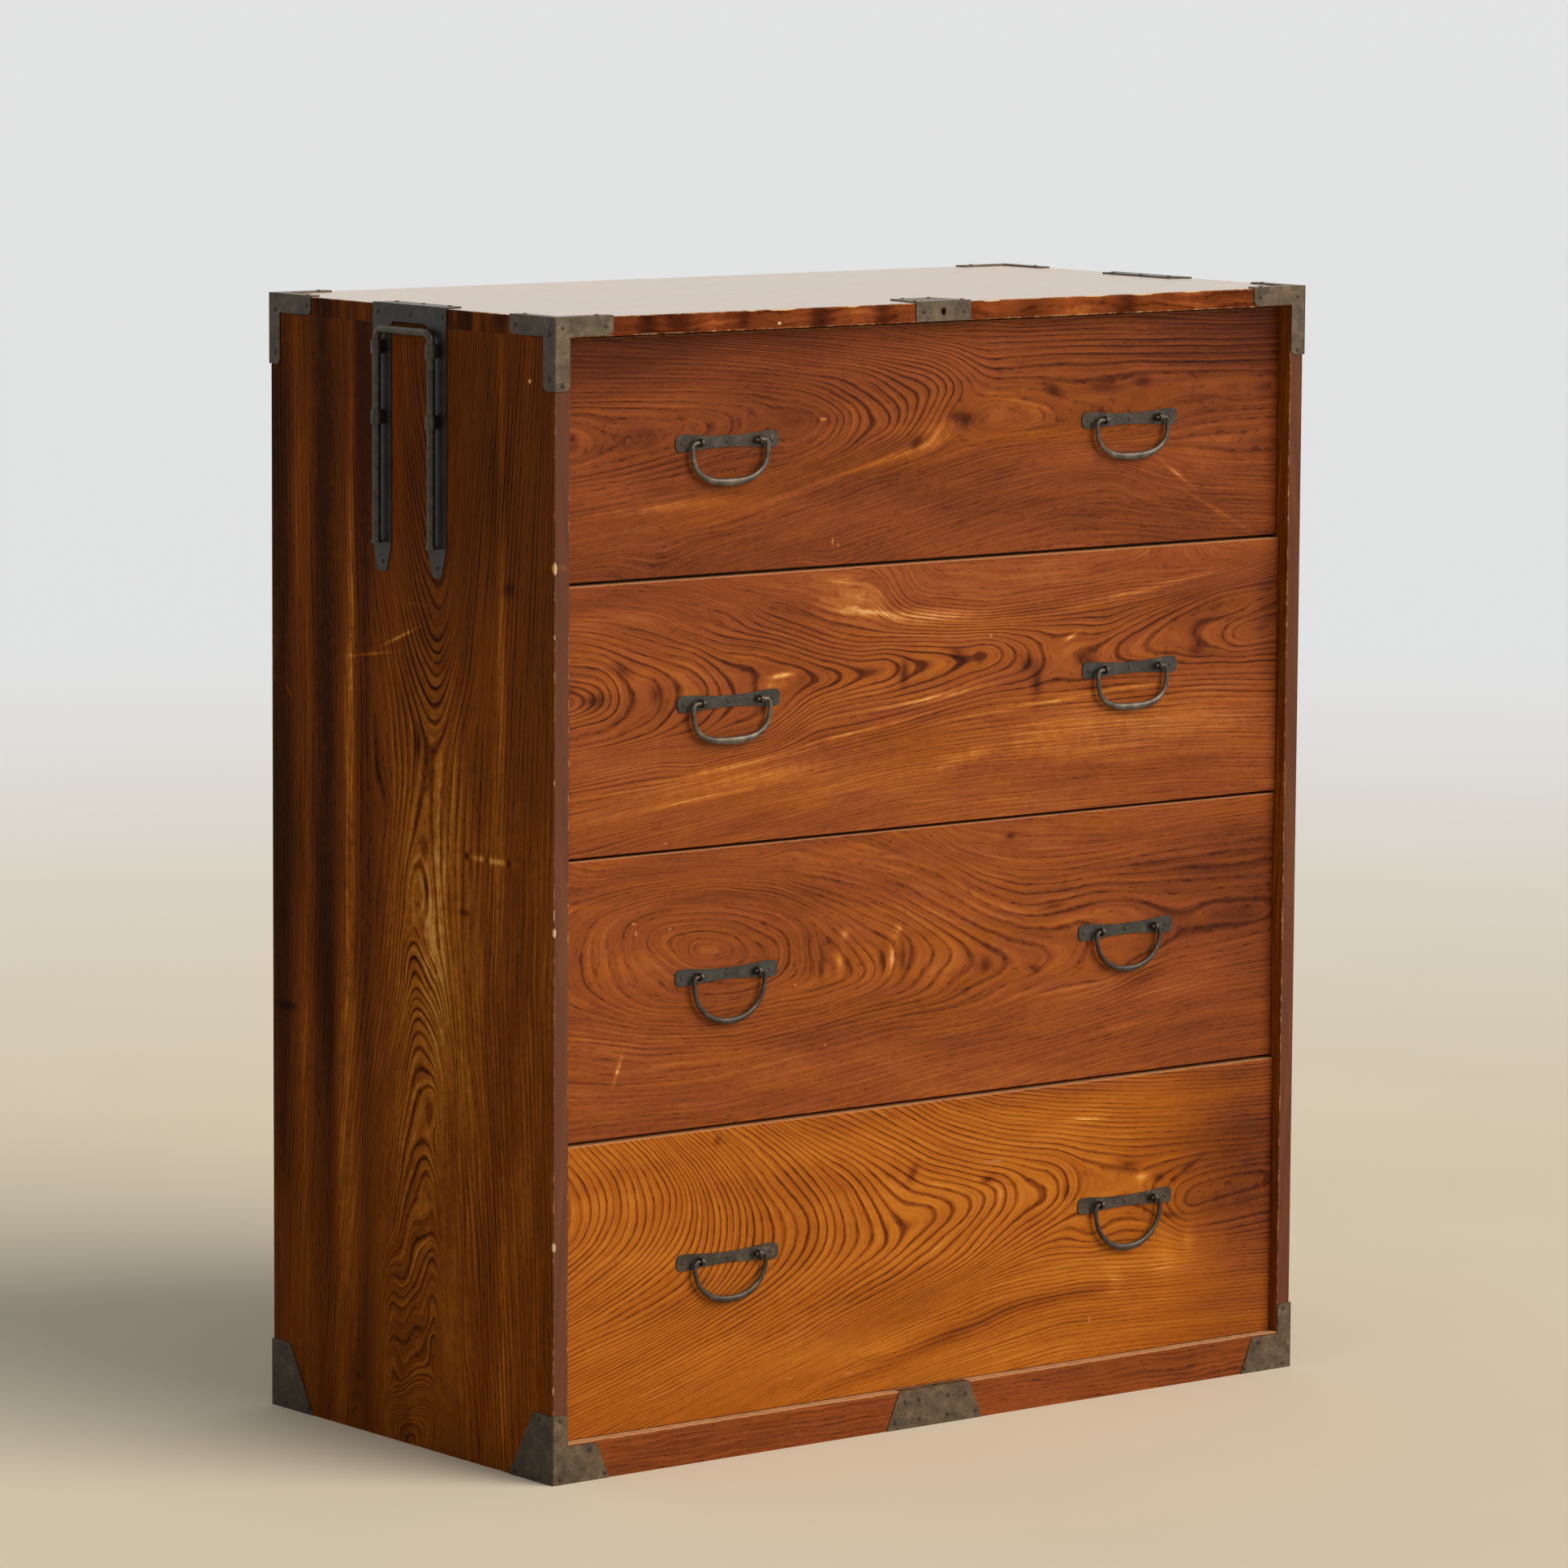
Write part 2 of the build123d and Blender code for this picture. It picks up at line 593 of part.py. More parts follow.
with BuildPart() as bottom_board:
    board(
        -LET_IN_HALF_W,
        LET_IN_HALF_W,
        -HALF_D + RAIL_THICK,
        BACK_INNER_Y,
        BED_HEIGHT - BED_THICK,
        BED_HEIGHT,
    )
keep(bottom_board, "bottom_board")

with BuildPart() as back_panel:
    board(-BACK_HALF_W, BACK_HALF_W, BACK_INNER_Y, HALF_D, 0, SIDE_TOP)
    for fitting in (joint_pegs, carcass_nails):
        add(fitting.part, mode=Mode.SUBTRACT)
keep(back_panel, "back_panel")

for label, middle in zip(("upper_shelf", "middle_shelf", "lower_shelf"), shelf_middles):
    with BuildPart() as shelf:
        board(
            -LET_IN_HALF_W,
            LET_IN_HALF_W,
            -HALF_D + SHELF_SETBACK,
            BACK_INNER_Y,
            middle - SHELF_THICK / 2,
            middle + SHELF_THICK / 2,
        )
    keep(shelf, label)

for label, right in (("left_side_panel", -1), ("right_side_panel", 1)):
    panel_x = sorted((right * INNER_HALF_W, right * HALF_W))
    housing_x = sorted((right * INNER_HALF_W, right * LET_IN_HALF_W))
    rebate_x = sorted((right * INNER_HALF_W, right * BACK_HALF_W))
    with BuildPart() as side_panel:
        board(*panel_x, -HALF_D, HALF_D, 0, SIDE_TOP)
        upright_edges = side_panel.edges().filter_by(Axis.Z)
        fillet(upright_edges.group_by(Axis.X)[0 if right < 0 else -1], CASE_EDGE)
        cut = Mode.SUBTRACT
        for middle in shelf_middles:
            shelf_z = (middle - SHELF_THICK / 2, middle + SHELF_THICK / 2)
            board(*housing_x, -HALF_D + SHELF_SETBACK, BACK_INNER_Y, *shelf_z, mode=cut)
        board(*housing_x, -HALF_D, -HALF_D + RAIL_THICK, 0, BED_HEIGHT, mode=cut)
        bed_z = (BED_HEIGHT - BED_THICK, BED_HEIGHT)
        board(*housing_x, -HALF_D + RAIL_THICK, BACK_INNER_Y, *bed_z, mode=cut)
        board(*rebate_x, BACK_INNER_Y, HALF_D, 0, SIDE_TOP, mode=cut)
        for fitting in (joint_pegs, carcass_nails, pole_guides):
            add(fitting.part, mode=cut)
    keep(side_panel, label)

# ---------------------------------------------------------------- top board and lock
with BuildPart() as lock_block:
    board(
        LOCK_LEFT_X,
        LOCK_RIGHT_X,
        LOCK_Y,
        LOCK_Y + LOCK_CASE_DEPTH,
        SIDE_TOP,
        SIDE_TOP + LOCK_CASE_HEIGHT,
    )

with BuildPart() as top_board:
    board(-HALF_W, HALF_W, -HALF_D, HALF_D, SIDE_TOP, CASE_HEIGHT)
    fillet(top_board.faces().sort_by(Axis.Z)[-1].edges(), CASE_EDGE)
    for fitting in (joint_pegs, carcass_nails, lock_block, keyhole):
        add(fitting.part, mode=Mode.SUBTRACT)
keep(top_board, "top_board")

with BuildPart() as lock_case:
    add(lock_block.part)
    board(
        LOCK_LEFT_X + LOCK_WALL,
        LOCK_RIGHT_X - LOCK_WALL,
        LOCK_Y + LOCK_WALL,
        LOCK_Y + LOCK_CASE_DEPTH - LOCK_WALL,
        SIDE_TOP + LOCK_WALL,
        SIDE_TOP + LOCK_CASE_HEIGHT - LOCK_WALL,
        mode=Mode.SUBTRACT,
    )
    board(
        LOCK_X,
        LOCK_X + TONGUE_SLOT_LONG,
        LOCK_Y + LOCK_WALL,
        LOCK_Y + LOCK_WALL + TONGUE_SLOT_WIDE,
        SIDE_TOP,
        SIDE_TOP + LOCK_WALL,
        mode=Mode.SUBTRACT,
    )
    add(keyhole.part, mode=Mode.SUBTRACT)
keep(lock_case, "lock_case")

with BuildPart() as lock_bolt:
    bolt_left = LOCK_LEFT_X + LOCK_WALL + BOLT_GAP
    bolt_low = SIDE_TOP + LOCK_WALL + BOLT_GAP
    board(
        bolt_left,
        bolt_left + BOLT_LENGTH,
        LOCK_Y + LOCK_WALL + BOLT_GAP,
        LOCK_Y + LOCK_WALL + TONGUE_SLOT_WIDE - BOLT_GAP,
        bolt_low,
        bolt_low + BOLT_HEIGHT,
    )
keep(lock_bolt, "lock_bolt")


# ---------------------------------------------------------------- drawers
def handle_plate_outline():
    """Handle plate: two lobes joined by a waisted bar."""
    half = PLATE_LENGTH / 2
    high = PLATE_END_HEIGHT / 2
    waist = PLATE_WAIST / 2
    reach = PLATE_WAIST_SPAN / 2
    with BuildSketch() as shape:
        with BuildLine():
            ThreePointArc((-reach, high), (0, waist), (reach, high))
            Polyline((reach, high), (half, high), (half, -high), (reach, -high))
            ThreePointArc((reach, -high), (0, -waist), (-reach, -high))
            Polyline((-reach, -high), (-half, -high), (-half, high), (-reach, high))
        make_face()
        by_x = shape.vertices().group_by(Axis.X)
        fillet(by_x[0] + by_x[-1], PLATE_ROUND)
    return shape.sketch


with BuildPart() as eye:
    with BuildSketch(Plane.YZ.offset(-EYE_WIDTH / 2)):
        Circle(EYE_RADIUS)
        Rectangle(EYE_STANDOFF + FRONT_THICK, EYE_STEM, align=(Align.MIN, Align.CENTER))
        with Locations((EYE_STANDOFF + FRONT_THICK, 0)):
            Rectangle(EYE_CLINCH_THICK, 2 * EYE_CLINCH_LONG, align=(Align.MIN, Align.CENTER))
        Circle(EYE_HOLE_R, mode=Mode.SUBTRACT)
    extrude(amount=EYE_WIDTH)


def bail(x, drawer_y, z, width, drop):
    """A bail: round bar bent to a D, its tips turned inwards through the eyes."""
    half = width / 2 - BAIL_RADIUS
    tip = EYE_X - EYE_WIDTH / 2 - BAIL_TIP_PAST_EYE
    low = drop * BAIL_LOWER_SHARE
    flat = half * BAIL_FLAT_SHARE
    pivot_y = drawer_y - EYE_STANDOFF
    with BuildPart() as bar:
        with BuildLine(Plane(origin=(x, pivot_y, z), x_dir=(1, 0, 0), z_dir=(0, -1, 0))) as path:
            FilletPolyline(
                (-tip, 0),
                (-half, 0),
                (-half, -low),
                (-flat, -drop),
                (flat, -drop),
                (half, -low),
                (half, 0),
                (tip, 0),
                radius=[BAIL_SHOULDER_R] + 4 * [BAIL_LOWER_R] + [BAIL_SHOULDER_R],
            )
        with BuildSketch(Plane(origin=(x - tip, pivot_y, z), z_dir=(-1, 0, 0))):
            Circle(BAIL_RADIUS)
        sweep(path=path.wires()[0])
    return bar


def drawer(index):
    """One drawer: front, box, and two handles."""
    name = DRAWER_NAMES[index]
    drawer_y = -HALF_D + FRONT_RECESSES[index]
    front_back_y = drawer_y + FRONT_THICK
    half = INNER_HALF_W - SIDE_GAP
    box_z = run_levels[index] + RUN_GAP
    side_z = box_z + BOX_BOTTOM_THICK
    side_top = ceilings[index] - HEADROOM
    rear_y = BACK_INNER_Y - RUN_GAP
    handle_z = (front_bottoms[index] + front_tops[index]) / 2 + HANDLE_RISES[index]
    handle_xs = (-HANDLE_X, HANDLE_X)
    inner_half = half - BOX_SIDE_THICK

    with BuildPart() as sides:
        for side_ends in ((-half, -inner_half), (inner_half, half)):
            board(*side_ends, front_back_y - SIDE_LAP, rear_y, side_z, side_top)
    with BuildPart() as back:
        board(-inner_half, inner_half, rear_y - BOX_BACK_THICK, rear_y, side_z, side_top)
    with BuildPart() as bottom:
        board(-half, half, front_back_y - BOTTOM_LAP, rear_y, box_z, side_z)

    eye_xs = [x + right * EYE_X for x in handle_xs for right in (-1, 1)]
    nail_xs = [x + right * PLATE_NAIL_X for x in handle_xs for right in (-1, 0, 1)]
    with BuildPart() as handle_fixings:
        with Locations(*[(x, drawer_y - EYE_STANDOFF, handle_z) for x in eye_xs]):
            add(eye.part)
        with Locations(
            *nail_planes([(x, drawer_y - IRON_THICK, handle_z) for x in nail_xs], (0, -1, 0))
        ):
            add(nail.part)
    plate_face = handle_plate_outline()
    with BuildPart() as handle_plates:
        face_plane = Plane(origin=(0, drawer_y, handle_z), x_dir=(1, 0, 0), z_dir=(0, -1, 0))
        with BuildSketch(face_plane):
            with Locations(*[(x, 0) for x in handle_xs]):
                add(plate_face)
        extrude(amount=IRON_THICK)
        add(handle_fixings.part, mode=Mode.SUBTRACT)

    with BuildPart() as front:
        board(-half, half, drawer_y, front_back_y, front_bottoms[index], front_tops[index])
        fillet(front.faces().sort_by(Axis.Y)[0].edges(), FRONT_EDGE)
        for let_in in (sides, bottom, handle_fixings):
            add(let_in.part, mode=Mode.SUBTRACT)

    keep(front, name + "_front")
    keep(sides, name + "_sides")
    keep(back, name + "_back")
    keep(bottom, name + "_bottom")
    keep(handle_plates, name + "_handle_plates")
    keep(handle_fixings, name + "_handle_fixings")
    for hand, x, size in zip(("left", "right"), handle_xs, BAIL_SIZES[index]):
        keep(bail(x, drawer_y, handle_z, *size), name + "_" + hand + "_bail")


for drawer_index in range(len(DRAWER_NAMES)):
    drawer(drawer_index)

# ---------------------------------------------------------------- write the pieces
os.makedirs("parts", exist_ok=True)
for piece in finished:
    export_step(piece, "parts/" + piece.label + ".step")
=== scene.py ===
"""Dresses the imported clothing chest: lacquered wood with its figure, wrought iron, light and camera."""
import json
import math

import bpy
import numpy as np
from mathutils import Matrix, Vector


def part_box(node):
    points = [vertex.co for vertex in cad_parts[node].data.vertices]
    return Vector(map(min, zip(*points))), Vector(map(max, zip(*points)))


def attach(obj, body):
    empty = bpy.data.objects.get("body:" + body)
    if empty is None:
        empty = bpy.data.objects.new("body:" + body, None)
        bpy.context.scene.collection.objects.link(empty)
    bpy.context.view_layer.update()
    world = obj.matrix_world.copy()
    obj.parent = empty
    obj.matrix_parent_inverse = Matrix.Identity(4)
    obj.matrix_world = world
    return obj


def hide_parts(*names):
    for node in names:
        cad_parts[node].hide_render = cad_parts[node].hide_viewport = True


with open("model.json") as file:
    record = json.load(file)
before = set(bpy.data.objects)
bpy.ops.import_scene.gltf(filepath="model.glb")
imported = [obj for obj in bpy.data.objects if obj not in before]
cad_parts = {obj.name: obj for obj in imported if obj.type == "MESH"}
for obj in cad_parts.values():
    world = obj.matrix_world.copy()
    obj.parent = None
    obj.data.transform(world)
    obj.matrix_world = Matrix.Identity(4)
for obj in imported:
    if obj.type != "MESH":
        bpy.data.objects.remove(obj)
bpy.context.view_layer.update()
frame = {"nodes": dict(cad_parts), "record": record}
NODES = frame["nodes"]
MM = 0.001


# ---------------------------------------------------------------- node graphs
COAT_ROUGHNESS = 0.24
COAT_IOR = 1.8


def linear(red, green, blue):
    """A colour as read on a screen, 0 to 255, as Blender's linear RGBA."""
    parts = [part / 255 for part in (red, green, blue)]
    return tuple(p / 12.92 if p <= 0.04045 else ((p + 0.055) / 1.055) ** 2.4 for p in parts) + (1.0,)


class Value:
    """A number that a material works out at every point. Arithmetic on it adds nodes."""

    def __init__(self, graph, socket):
        self.graph = graph
        self.socket = socket

    def __add__(self, other):
        return self.graph.math("ADD", self, other)

    def __sub__(self, other):
        return self.graph.math("SUBTRACT", self, other)

    def __rsub__(self, other):
        return self.graph.math("SUBTRACT", other, self)

    def __mul__(self, other):
        return self.graph.math("MULTIPLY", self, other)

    def __truediv__(self, other):
        return self.graph.math("DIVIDE", self, other)

    __radd__ = __add__
    __rmul__ = __mul__


class Graph:
    """A material's node tree, built by calls. Lengths in it are millimetres."""

    def __init__(self, name):
        self.material = bpy.data.materials.new(name)
        self.material.use_nodes = True
        self.tree = self.material.node_tree
        self.tree.nodes.clear()
        scaled = self.add("ShaderNodeVectorMath", operation="SCALE")
        self.feed(scaled.inputs[0], self.add("ShaderNodeTexCoord").outputs["Object"])
        scaled.inputs["Scale"].default_value = 1 / MM
        self.place = scaled.outputs[0]
        split = self.add("ShaderNodeSeparateXYZ")
        self.feed(split.inputs[0], self.place)
        self.xyz = [Value(self, output) for output in split.outputs]

    def add(self, kind, **settings):
        node = self.tree.nodes.new(kind)
        for name, value in settings.items():
            setattr(node, name, value)
        return node

    def feed(self, entry, value):
        """Links a socket to an entry, or sets a constant on it."""
        if isinstance(value, Value):
            value = value.socket
        if isinstance(value, bpy.types.NodeSocket):
            self.tree.links.new(value, entry)
        else:
            entry.default_value = value

    def math(self, operation, *values, clamp=False):
        node = self.add("ShaderNodeMath", operation=operation, use_clamp=clamp)
        for entry, value in zip(node.inputs, values):
            self.feed(entry, value)
        return Value(self, node.outputs[0])

    def sum(self, values):
        total = values[0]
        for value in values[1:]:
            total = total + value
        return total

    def clamp(self, value):
        return self.math("ADD", value, 0.0, clamp=True)

    def vector(self, *parts):
        node = self.add("ShaderNodeCombineXYZ")
        for entry, part in zip(node.inputs, parts):
            self.feed(entry, part)
        return node.outputs[0]

    def rise(self, value, low, high):
        """0 below low, 1 above high, and a smooth rise between."""
        node = self.add("ShaderNodeMapRange", interpolation_type="SMOOTHSTEP")
        for entry, part in zip(node.inputs, (value, low, high, 0.0, 1.0)):
            self.feed(entry, part)
        return Value(self, node.outputs[0])

    def fall(self, value, low, high):
        """1 below low, 0 above high, and a smooth fall between."""
        return 1.0 - self.rise(value, low, high)

    def noise(self, place, scale=1.0, detail=2.0, roughness=0.5):
        """Soft noise about 0, from about -0.5 to 0.5."""
        node = self.add("ShaderNodeTexNoise")
        self.feed(node.inputs["Vector"], place)
        for entry, part in (("Scale", scale), ("Detail", detail), ("Roughness", roughness)):
            node.inputs[entry].default_value = part
        return Value(self, node.outputs[0]) - 0.5

    def ramp(self, value, stops):
        """A colour ramp through stops of (place, (red, green, blue))."""
        node = self.add("ShaderNodeValToRGB")
        self.feed(node.inputs[0], value)
        elements = node.color_ramp.elements
        while len(elements) < len(stops):
            elements.new(0.5)
        for element, (place, tint) in zip(elements, stops):
            element.position = place
            element.color = linear(*tint)
        return node.outputs[0]

    def mix(self, first, second, share):
        """first where share is 0, second where it is 1; both are colours."""
        node = self.add("ShaderNodeMix", data_type="RGBA")
        for entry, part in zip(("Factor_Float", "A_Color", "B_Color"), (share, first, second)):
            self.feed(next(i for i in node.inputs if i.identifier == entry), part)
        return next(o for o in node.outputs if o.identifier == "Result_Color")

    def curve(self, value, points):
        """A smooth curve through points of (value, result), all from 0 to 1."""
        node = self.add("ShaderNodeFloatCurve")
        self.feed(node.inputs["Value"], value)
        line = node.mapping.curves[0]
        while len(line.points) < len(points):
            line.points.new(0.5, 0.5)
        for point, place in zip(line.points, points):
            point.location = place
            point.handle_type = "AUTO"
        node.mapping.extend = "HORIZONTAL"
        node.mapping.update()
        return Value(self, node.outputs[0])

    def spot(self, u, v, along, up, length, width, turn=0.0):
        """1 at (along, up), falling smoothly to 0 outside the half length and half width.

        turn is in degrees.
        """
        swing = math.radians(turn)
        beside = u - along
        above = v - up
        first = beside * (math.cos(swing) / length) + above * (math.sin(swing) / length)
        second = above * (math.cos(swing) / width) - beside * (math.sin(swing) / width)
        return self.math("POWER", 1 / math.e, first * first + second * second)

    def marks(self, u, v, spots):
        """The sum of spots of (along, up, half length, half width, turn, amount)."""
        return self.sum([self.spot(u, v, *shape) * amount for *shape, amount in spots])

    def shader(self, colour, roughness, height=None, depth=1.0, metal=0.0, specular=0.5, coat=None):
        """Finishes the material. height is in millimetres."""
        node = self.add("ShaderNodeBsdfPrincipled")
        self.feed(node.inputs["Base Color"], colour)
        self.feed(node.inputs["Roughness"], roughness)
        node.inputs["Metallic"].default_value = metal
        node.inputs["Specular IOR Level"].default_value = specular
        if coat is not None:
            self.feed(node.inputs["Coat Weight"], coat)
            node.inputs["Coat Roughness"].default_value = COAT_ROUGHNESS
            node.inputs["Coat IOR"].default_value = COAT_IOR
        if height is not None:
            bump = self.add("ShaderNodeBump")
            bump.inputs["Strength"].default_value = depth
            bump.inputs["Distance"].default_value = MM
            self.feed(bump.inputs["Height"], height)
            self.feed(node.inputs["Normal"], bump.outputs[0])
        end = self.add("ShaderNodeOutputMaterial")
        self.feed(end.inputs["Surface"], node.outputs[0])
        return self.material


# ---------------------------------------------------------------- ring figure
# A board's annual rings are drawn as a few of its lines: a ring number, and the line's points
# as along, across, along, across, in millimetres from the board's left or lower corner. Between
# these lines a smooth sheet of ring numbers is fitted, and every whole number on it is a ring.
SHEET_STEP = 20.0
SPLINE_SPAN = 4
CURVE_STEPS = 60
LINE_STEP = 6.0
PROFILE_POINTS = 33
STIFFNESS = 0.12
TIE = 1e-7


def bump_weight(distance):
    """Cubic B-spline weight at a distance in steps."""
    near = abs(np.asarray(distance, dtype=float))
    inner = 2 / 3 - near**2 + near**3 / 2
    outer = (2 - np.minimum(near, 2)) ** 3 / 6
    return np.where(near < 1, inner, outer)


def along_line(points):
    """How far along a polyline each of its points is."""
    return np.concatenate([[0], np.cumsum(np.hypot(*np.diff(points, axis=0).T))])


def spread(points, places, along):
    """The points of a polyline at these places along it."""
    return np.stack([np.interp(places, along, points[:, axis]) for axis in (0, 1)], axis=1)


def fit_sheet(length, width, lines):
    """Ring numbers as B-spline rows: (row places, column places, amounts)."""
    columns = np.arange(-1, math.ceil(length / SHEET_STEP) + 2) * SHEET_STEP
    rows = np.arange(-1, math.ceil(width / SHEET_STEP) + 2) * SHEET_STEP
    count = len(rows) * len(columns)
    index = np.arange(count).reshape(len(rows), len(columns))
    square = np.eye(count) * TIE
    right = np.zeros(count)
    for ring, numbers in lines:
        points = np.reshape(np.array(numbers, dtype=float), (-1, 2))
        along = along_line(points)
        for u, v in spread(points, np.arange(0, along[-1], LINE_STEP), along):
            by_row = bump_weight((v - rows) / SHEET_STEP)
            by_column = bump_weight((u - columns) / SHEET_STEP)
            near = np.ix_(np.flatnonzero(by_row), np.flatnonzero(by_column))
            cells = index[near].ravel()
            weights = np.outer(by_row, by_column)[near].ravel()
            square[np.ix_(cells, cells)] += np.outer(weights, weights)
            right[cells] += weights * ring
    bend = np.outer((1, -2, 1), (1, -2, 1)) * STIFFNESS**2
    for before, middle, after in (
        (index[:, :-2], index[:, 1:-1], index[:, 2:]),
        (index[:-2], index[1:-1], index[2:]),
    ):
        for cells in zip(before.ravel(), middle.ravel(), after.ravel()):
            square[np.ix_(cells, cells)] += bend
    return rows, columns, np.linalg.solve(square, right).reshape(index.shape)


def ring_sheet(graph, u, v, length, width, lines):
    """The fitted ring number at u, v."""
    rows, columns, amounts = fit_sheet(length, width, lines)
    places = np.linspace(0, length, CURVE_STEPS + 1)
    levels = bump_weight((places[:, None] - columns[None, :]) / SHEET_STEP) @ amounts.T
    low, high = levels.min(), levels.max()
    share = graph.math("DIVIDE", u, length, clamp=True)
    reach = SPLINE_SPAN * SHEET_STEP
    step = v / reach + 0.5
    shares = np.linspace(0, 1, PROFILE_POINTS)
    profile = [(part, float(bump_weight((part - 0.5) * SPLINE_SPAN))) for part in shares]
    parts = []
    weights = []
    for row, place in enumerate(rows):
        heights = (levels[:, row] - low) / (high - low)
        along = graph.curve(share, list(zip(places / length, heights)))
        across = graph.curve(step - float(place) / reach, profile)
        parts.append(along * across)
        weights.append(across)
    return graph.sum(parts) / graph.sum(weights) * float(high - low) + float(low)


BOTTOM_FRONT_LINES = [
    (0, [3, 240, 10, 232, 17, 213, 14, 199, 7, 188, 1, 182]),
    (3, [14, 266, 29, 252, 38, 240, 44, 228, 48, 211, 45, 199, 38, 186, 24, 173, 7, 162]),
    (6, [36, 268, 51, 256, 62, 244, 69, 230, 73, 214, 69, 190, 59, 178, 43, 166, 21, 154, 2, 144]),
    (9, [62, 270, 71, 261, 86, 247, 95, 230, 102, 205, 98, 182, 88, 171, 71, 159, 48, 147, 5, 125]),
    (16, [107, 270, 119, 259, 133, 244, 145, 230, 153, 210, 153, 185, 143, 163, 128, 151]),
    (16, [128, 151, 105, 137, 71, 123, 36, 109, 2, 99]),
    (20, [124, 270, 133, 261, 152, 244, 164, 230, 174, 213, 181, 188, 180, 168, 174, 150]),
    (20, [174, 150, 162, 132, 143, 120, 107, 106, 71, 96, 36, 87, 2, 78]),
    (25, [152, 270, 171, 254, 188, 237, 202, 220, 212, 206, 219, 186, 220, 168, 216, 152]),
    (25, [216, 152, 205, 134, 178, 113, 143, 98, 107, 86, 71, 76, 24, 64, 0, 57]),
    (29, [181, 268, 200, 252, 221, 232, 238, 213, 250, 199, 262, 183, 269, 161, 265, 151, 255, 137]),
    (29, [255, 137, 238, 125, 214, 113, 178, 99, 143, 86, 100, 71, 48, 54, 0, 41]),
    (32, [212, 268, 240, 248, 262, 228, 280, 210, 298, 190, 307, 168, 305, 152, 296, 138]),
    (32, [296, 138, 270, 120, 230, 102, 180, 84, 130, 68, 70, 50, 0, 30]),
    (35, [235, 268, 262, 252, 290, 230, 315, 208, 328, 190, 338, 170, 340, 150, 330, 134]),
    (35, [330, 134, 300, 115, 255, 95, 200, 76, 140, 57, 70, 36, 0, 18]),
    (38, [248, 272, 287, 248, 316, 231, 348, 216, 365, 194, 377, 181, 383, 168, 389, 154, 386, 131]),
    (38, [386, 131, 371, 128, 350, 119, 319, 104, 285, 90, 230, 72, 170, 54, 100, 33, 30, 14]),
    (39, [300, 246, 330, 232, 355, 214, 373, 197, 398, 173, 414, 165, 437, 158, 421, 149, 398, 131]),
    (40, [300, 253, 340, 232, 370, 212, 390, 197, 419, 181, 448, 172, 455, 163, 440, 149, 403, 129]),
    (40, [403, 129, 364, 110, 320, 94, 260, 74, 200, 56, 130, 35, 60, 15]),
    (41, [300, 259, 345, 238, 385, 214, 411, 197, 448, 185, 477, 172, 481, 165, 461, 151, 424, 131]),
    (43, [300, 270, 350, 247, 400, 222, 430, 204, 480, 191, 508, 181, 516, 172, 492, 147, 450, 118]),
    (43, [450, 118, 400, 100, 340, 84, 280, 62, 200, 40, 120, 18]),
    (46, [340, 272, 390, 246, 440, 220, 500, 202, 537, 194, 552, 176, 550, 157, 519, 136, 480, 112]),
    (48, [370, 272, 420, 244, 480, 218, 540, 206, 590, 192, 606, 172, 593, 152, 543, 133, 500, 113]),
    (50, [400, 270, 460, 238, 540, 216, 600, 206, 635, 184, 645, 168, 608, 147, 550, 123, 500, 104]),
    (50, [500, 104, 450, 90, 400, 76, 340, 60, 280, 42, 200, 22, 150, 10]),
    (55, [450, 270, 520, 246, 600, 232, 680, 220, 760, 214, 870, 210]),
    (61, [520, 272, 600, 258, 700, 246, 800, 240, 870, 238]),
    (51, [620, 204, 667, 192, 700, 186, 733, 188, 783, 190, 870, 186]),
    (52, [640, 112, 650, 123, 680, 127, 710, 122, 740, 110, 760, 100, 800, 98, 870, 100]),
    (55, [620, 104, 570, 104, 500, 92, 440, 76, 380, 62, 320, 44, 250, 24, 200, 8]),
    (46.5, [762, 133, 800, 139, 833, 143, 873, 147]),
    (48.5, [745, 165, 767, 172, 800, 175, 873, 176]),
    (49, [762, 119, 810, 120, 873, 124]),
    (55, [620, 104, 700, 100, 760, 92, 870, 88]),
    (64, [617, 65, 567, 63, 533, 58, 500, 48, 450, 42, 400, 33, 350, 26, 300, 15, 270, 5]),
    (64, [617, 65, 700, 60, 800, 54, 870, 52]),
    (71, [400, 4, 460, 16, 520, 26, 600, 36, 700, 34, 800, 28, 870, 24]),
    (76, [500, 3, 600, 14, 700, 12, 800, 6]),
]
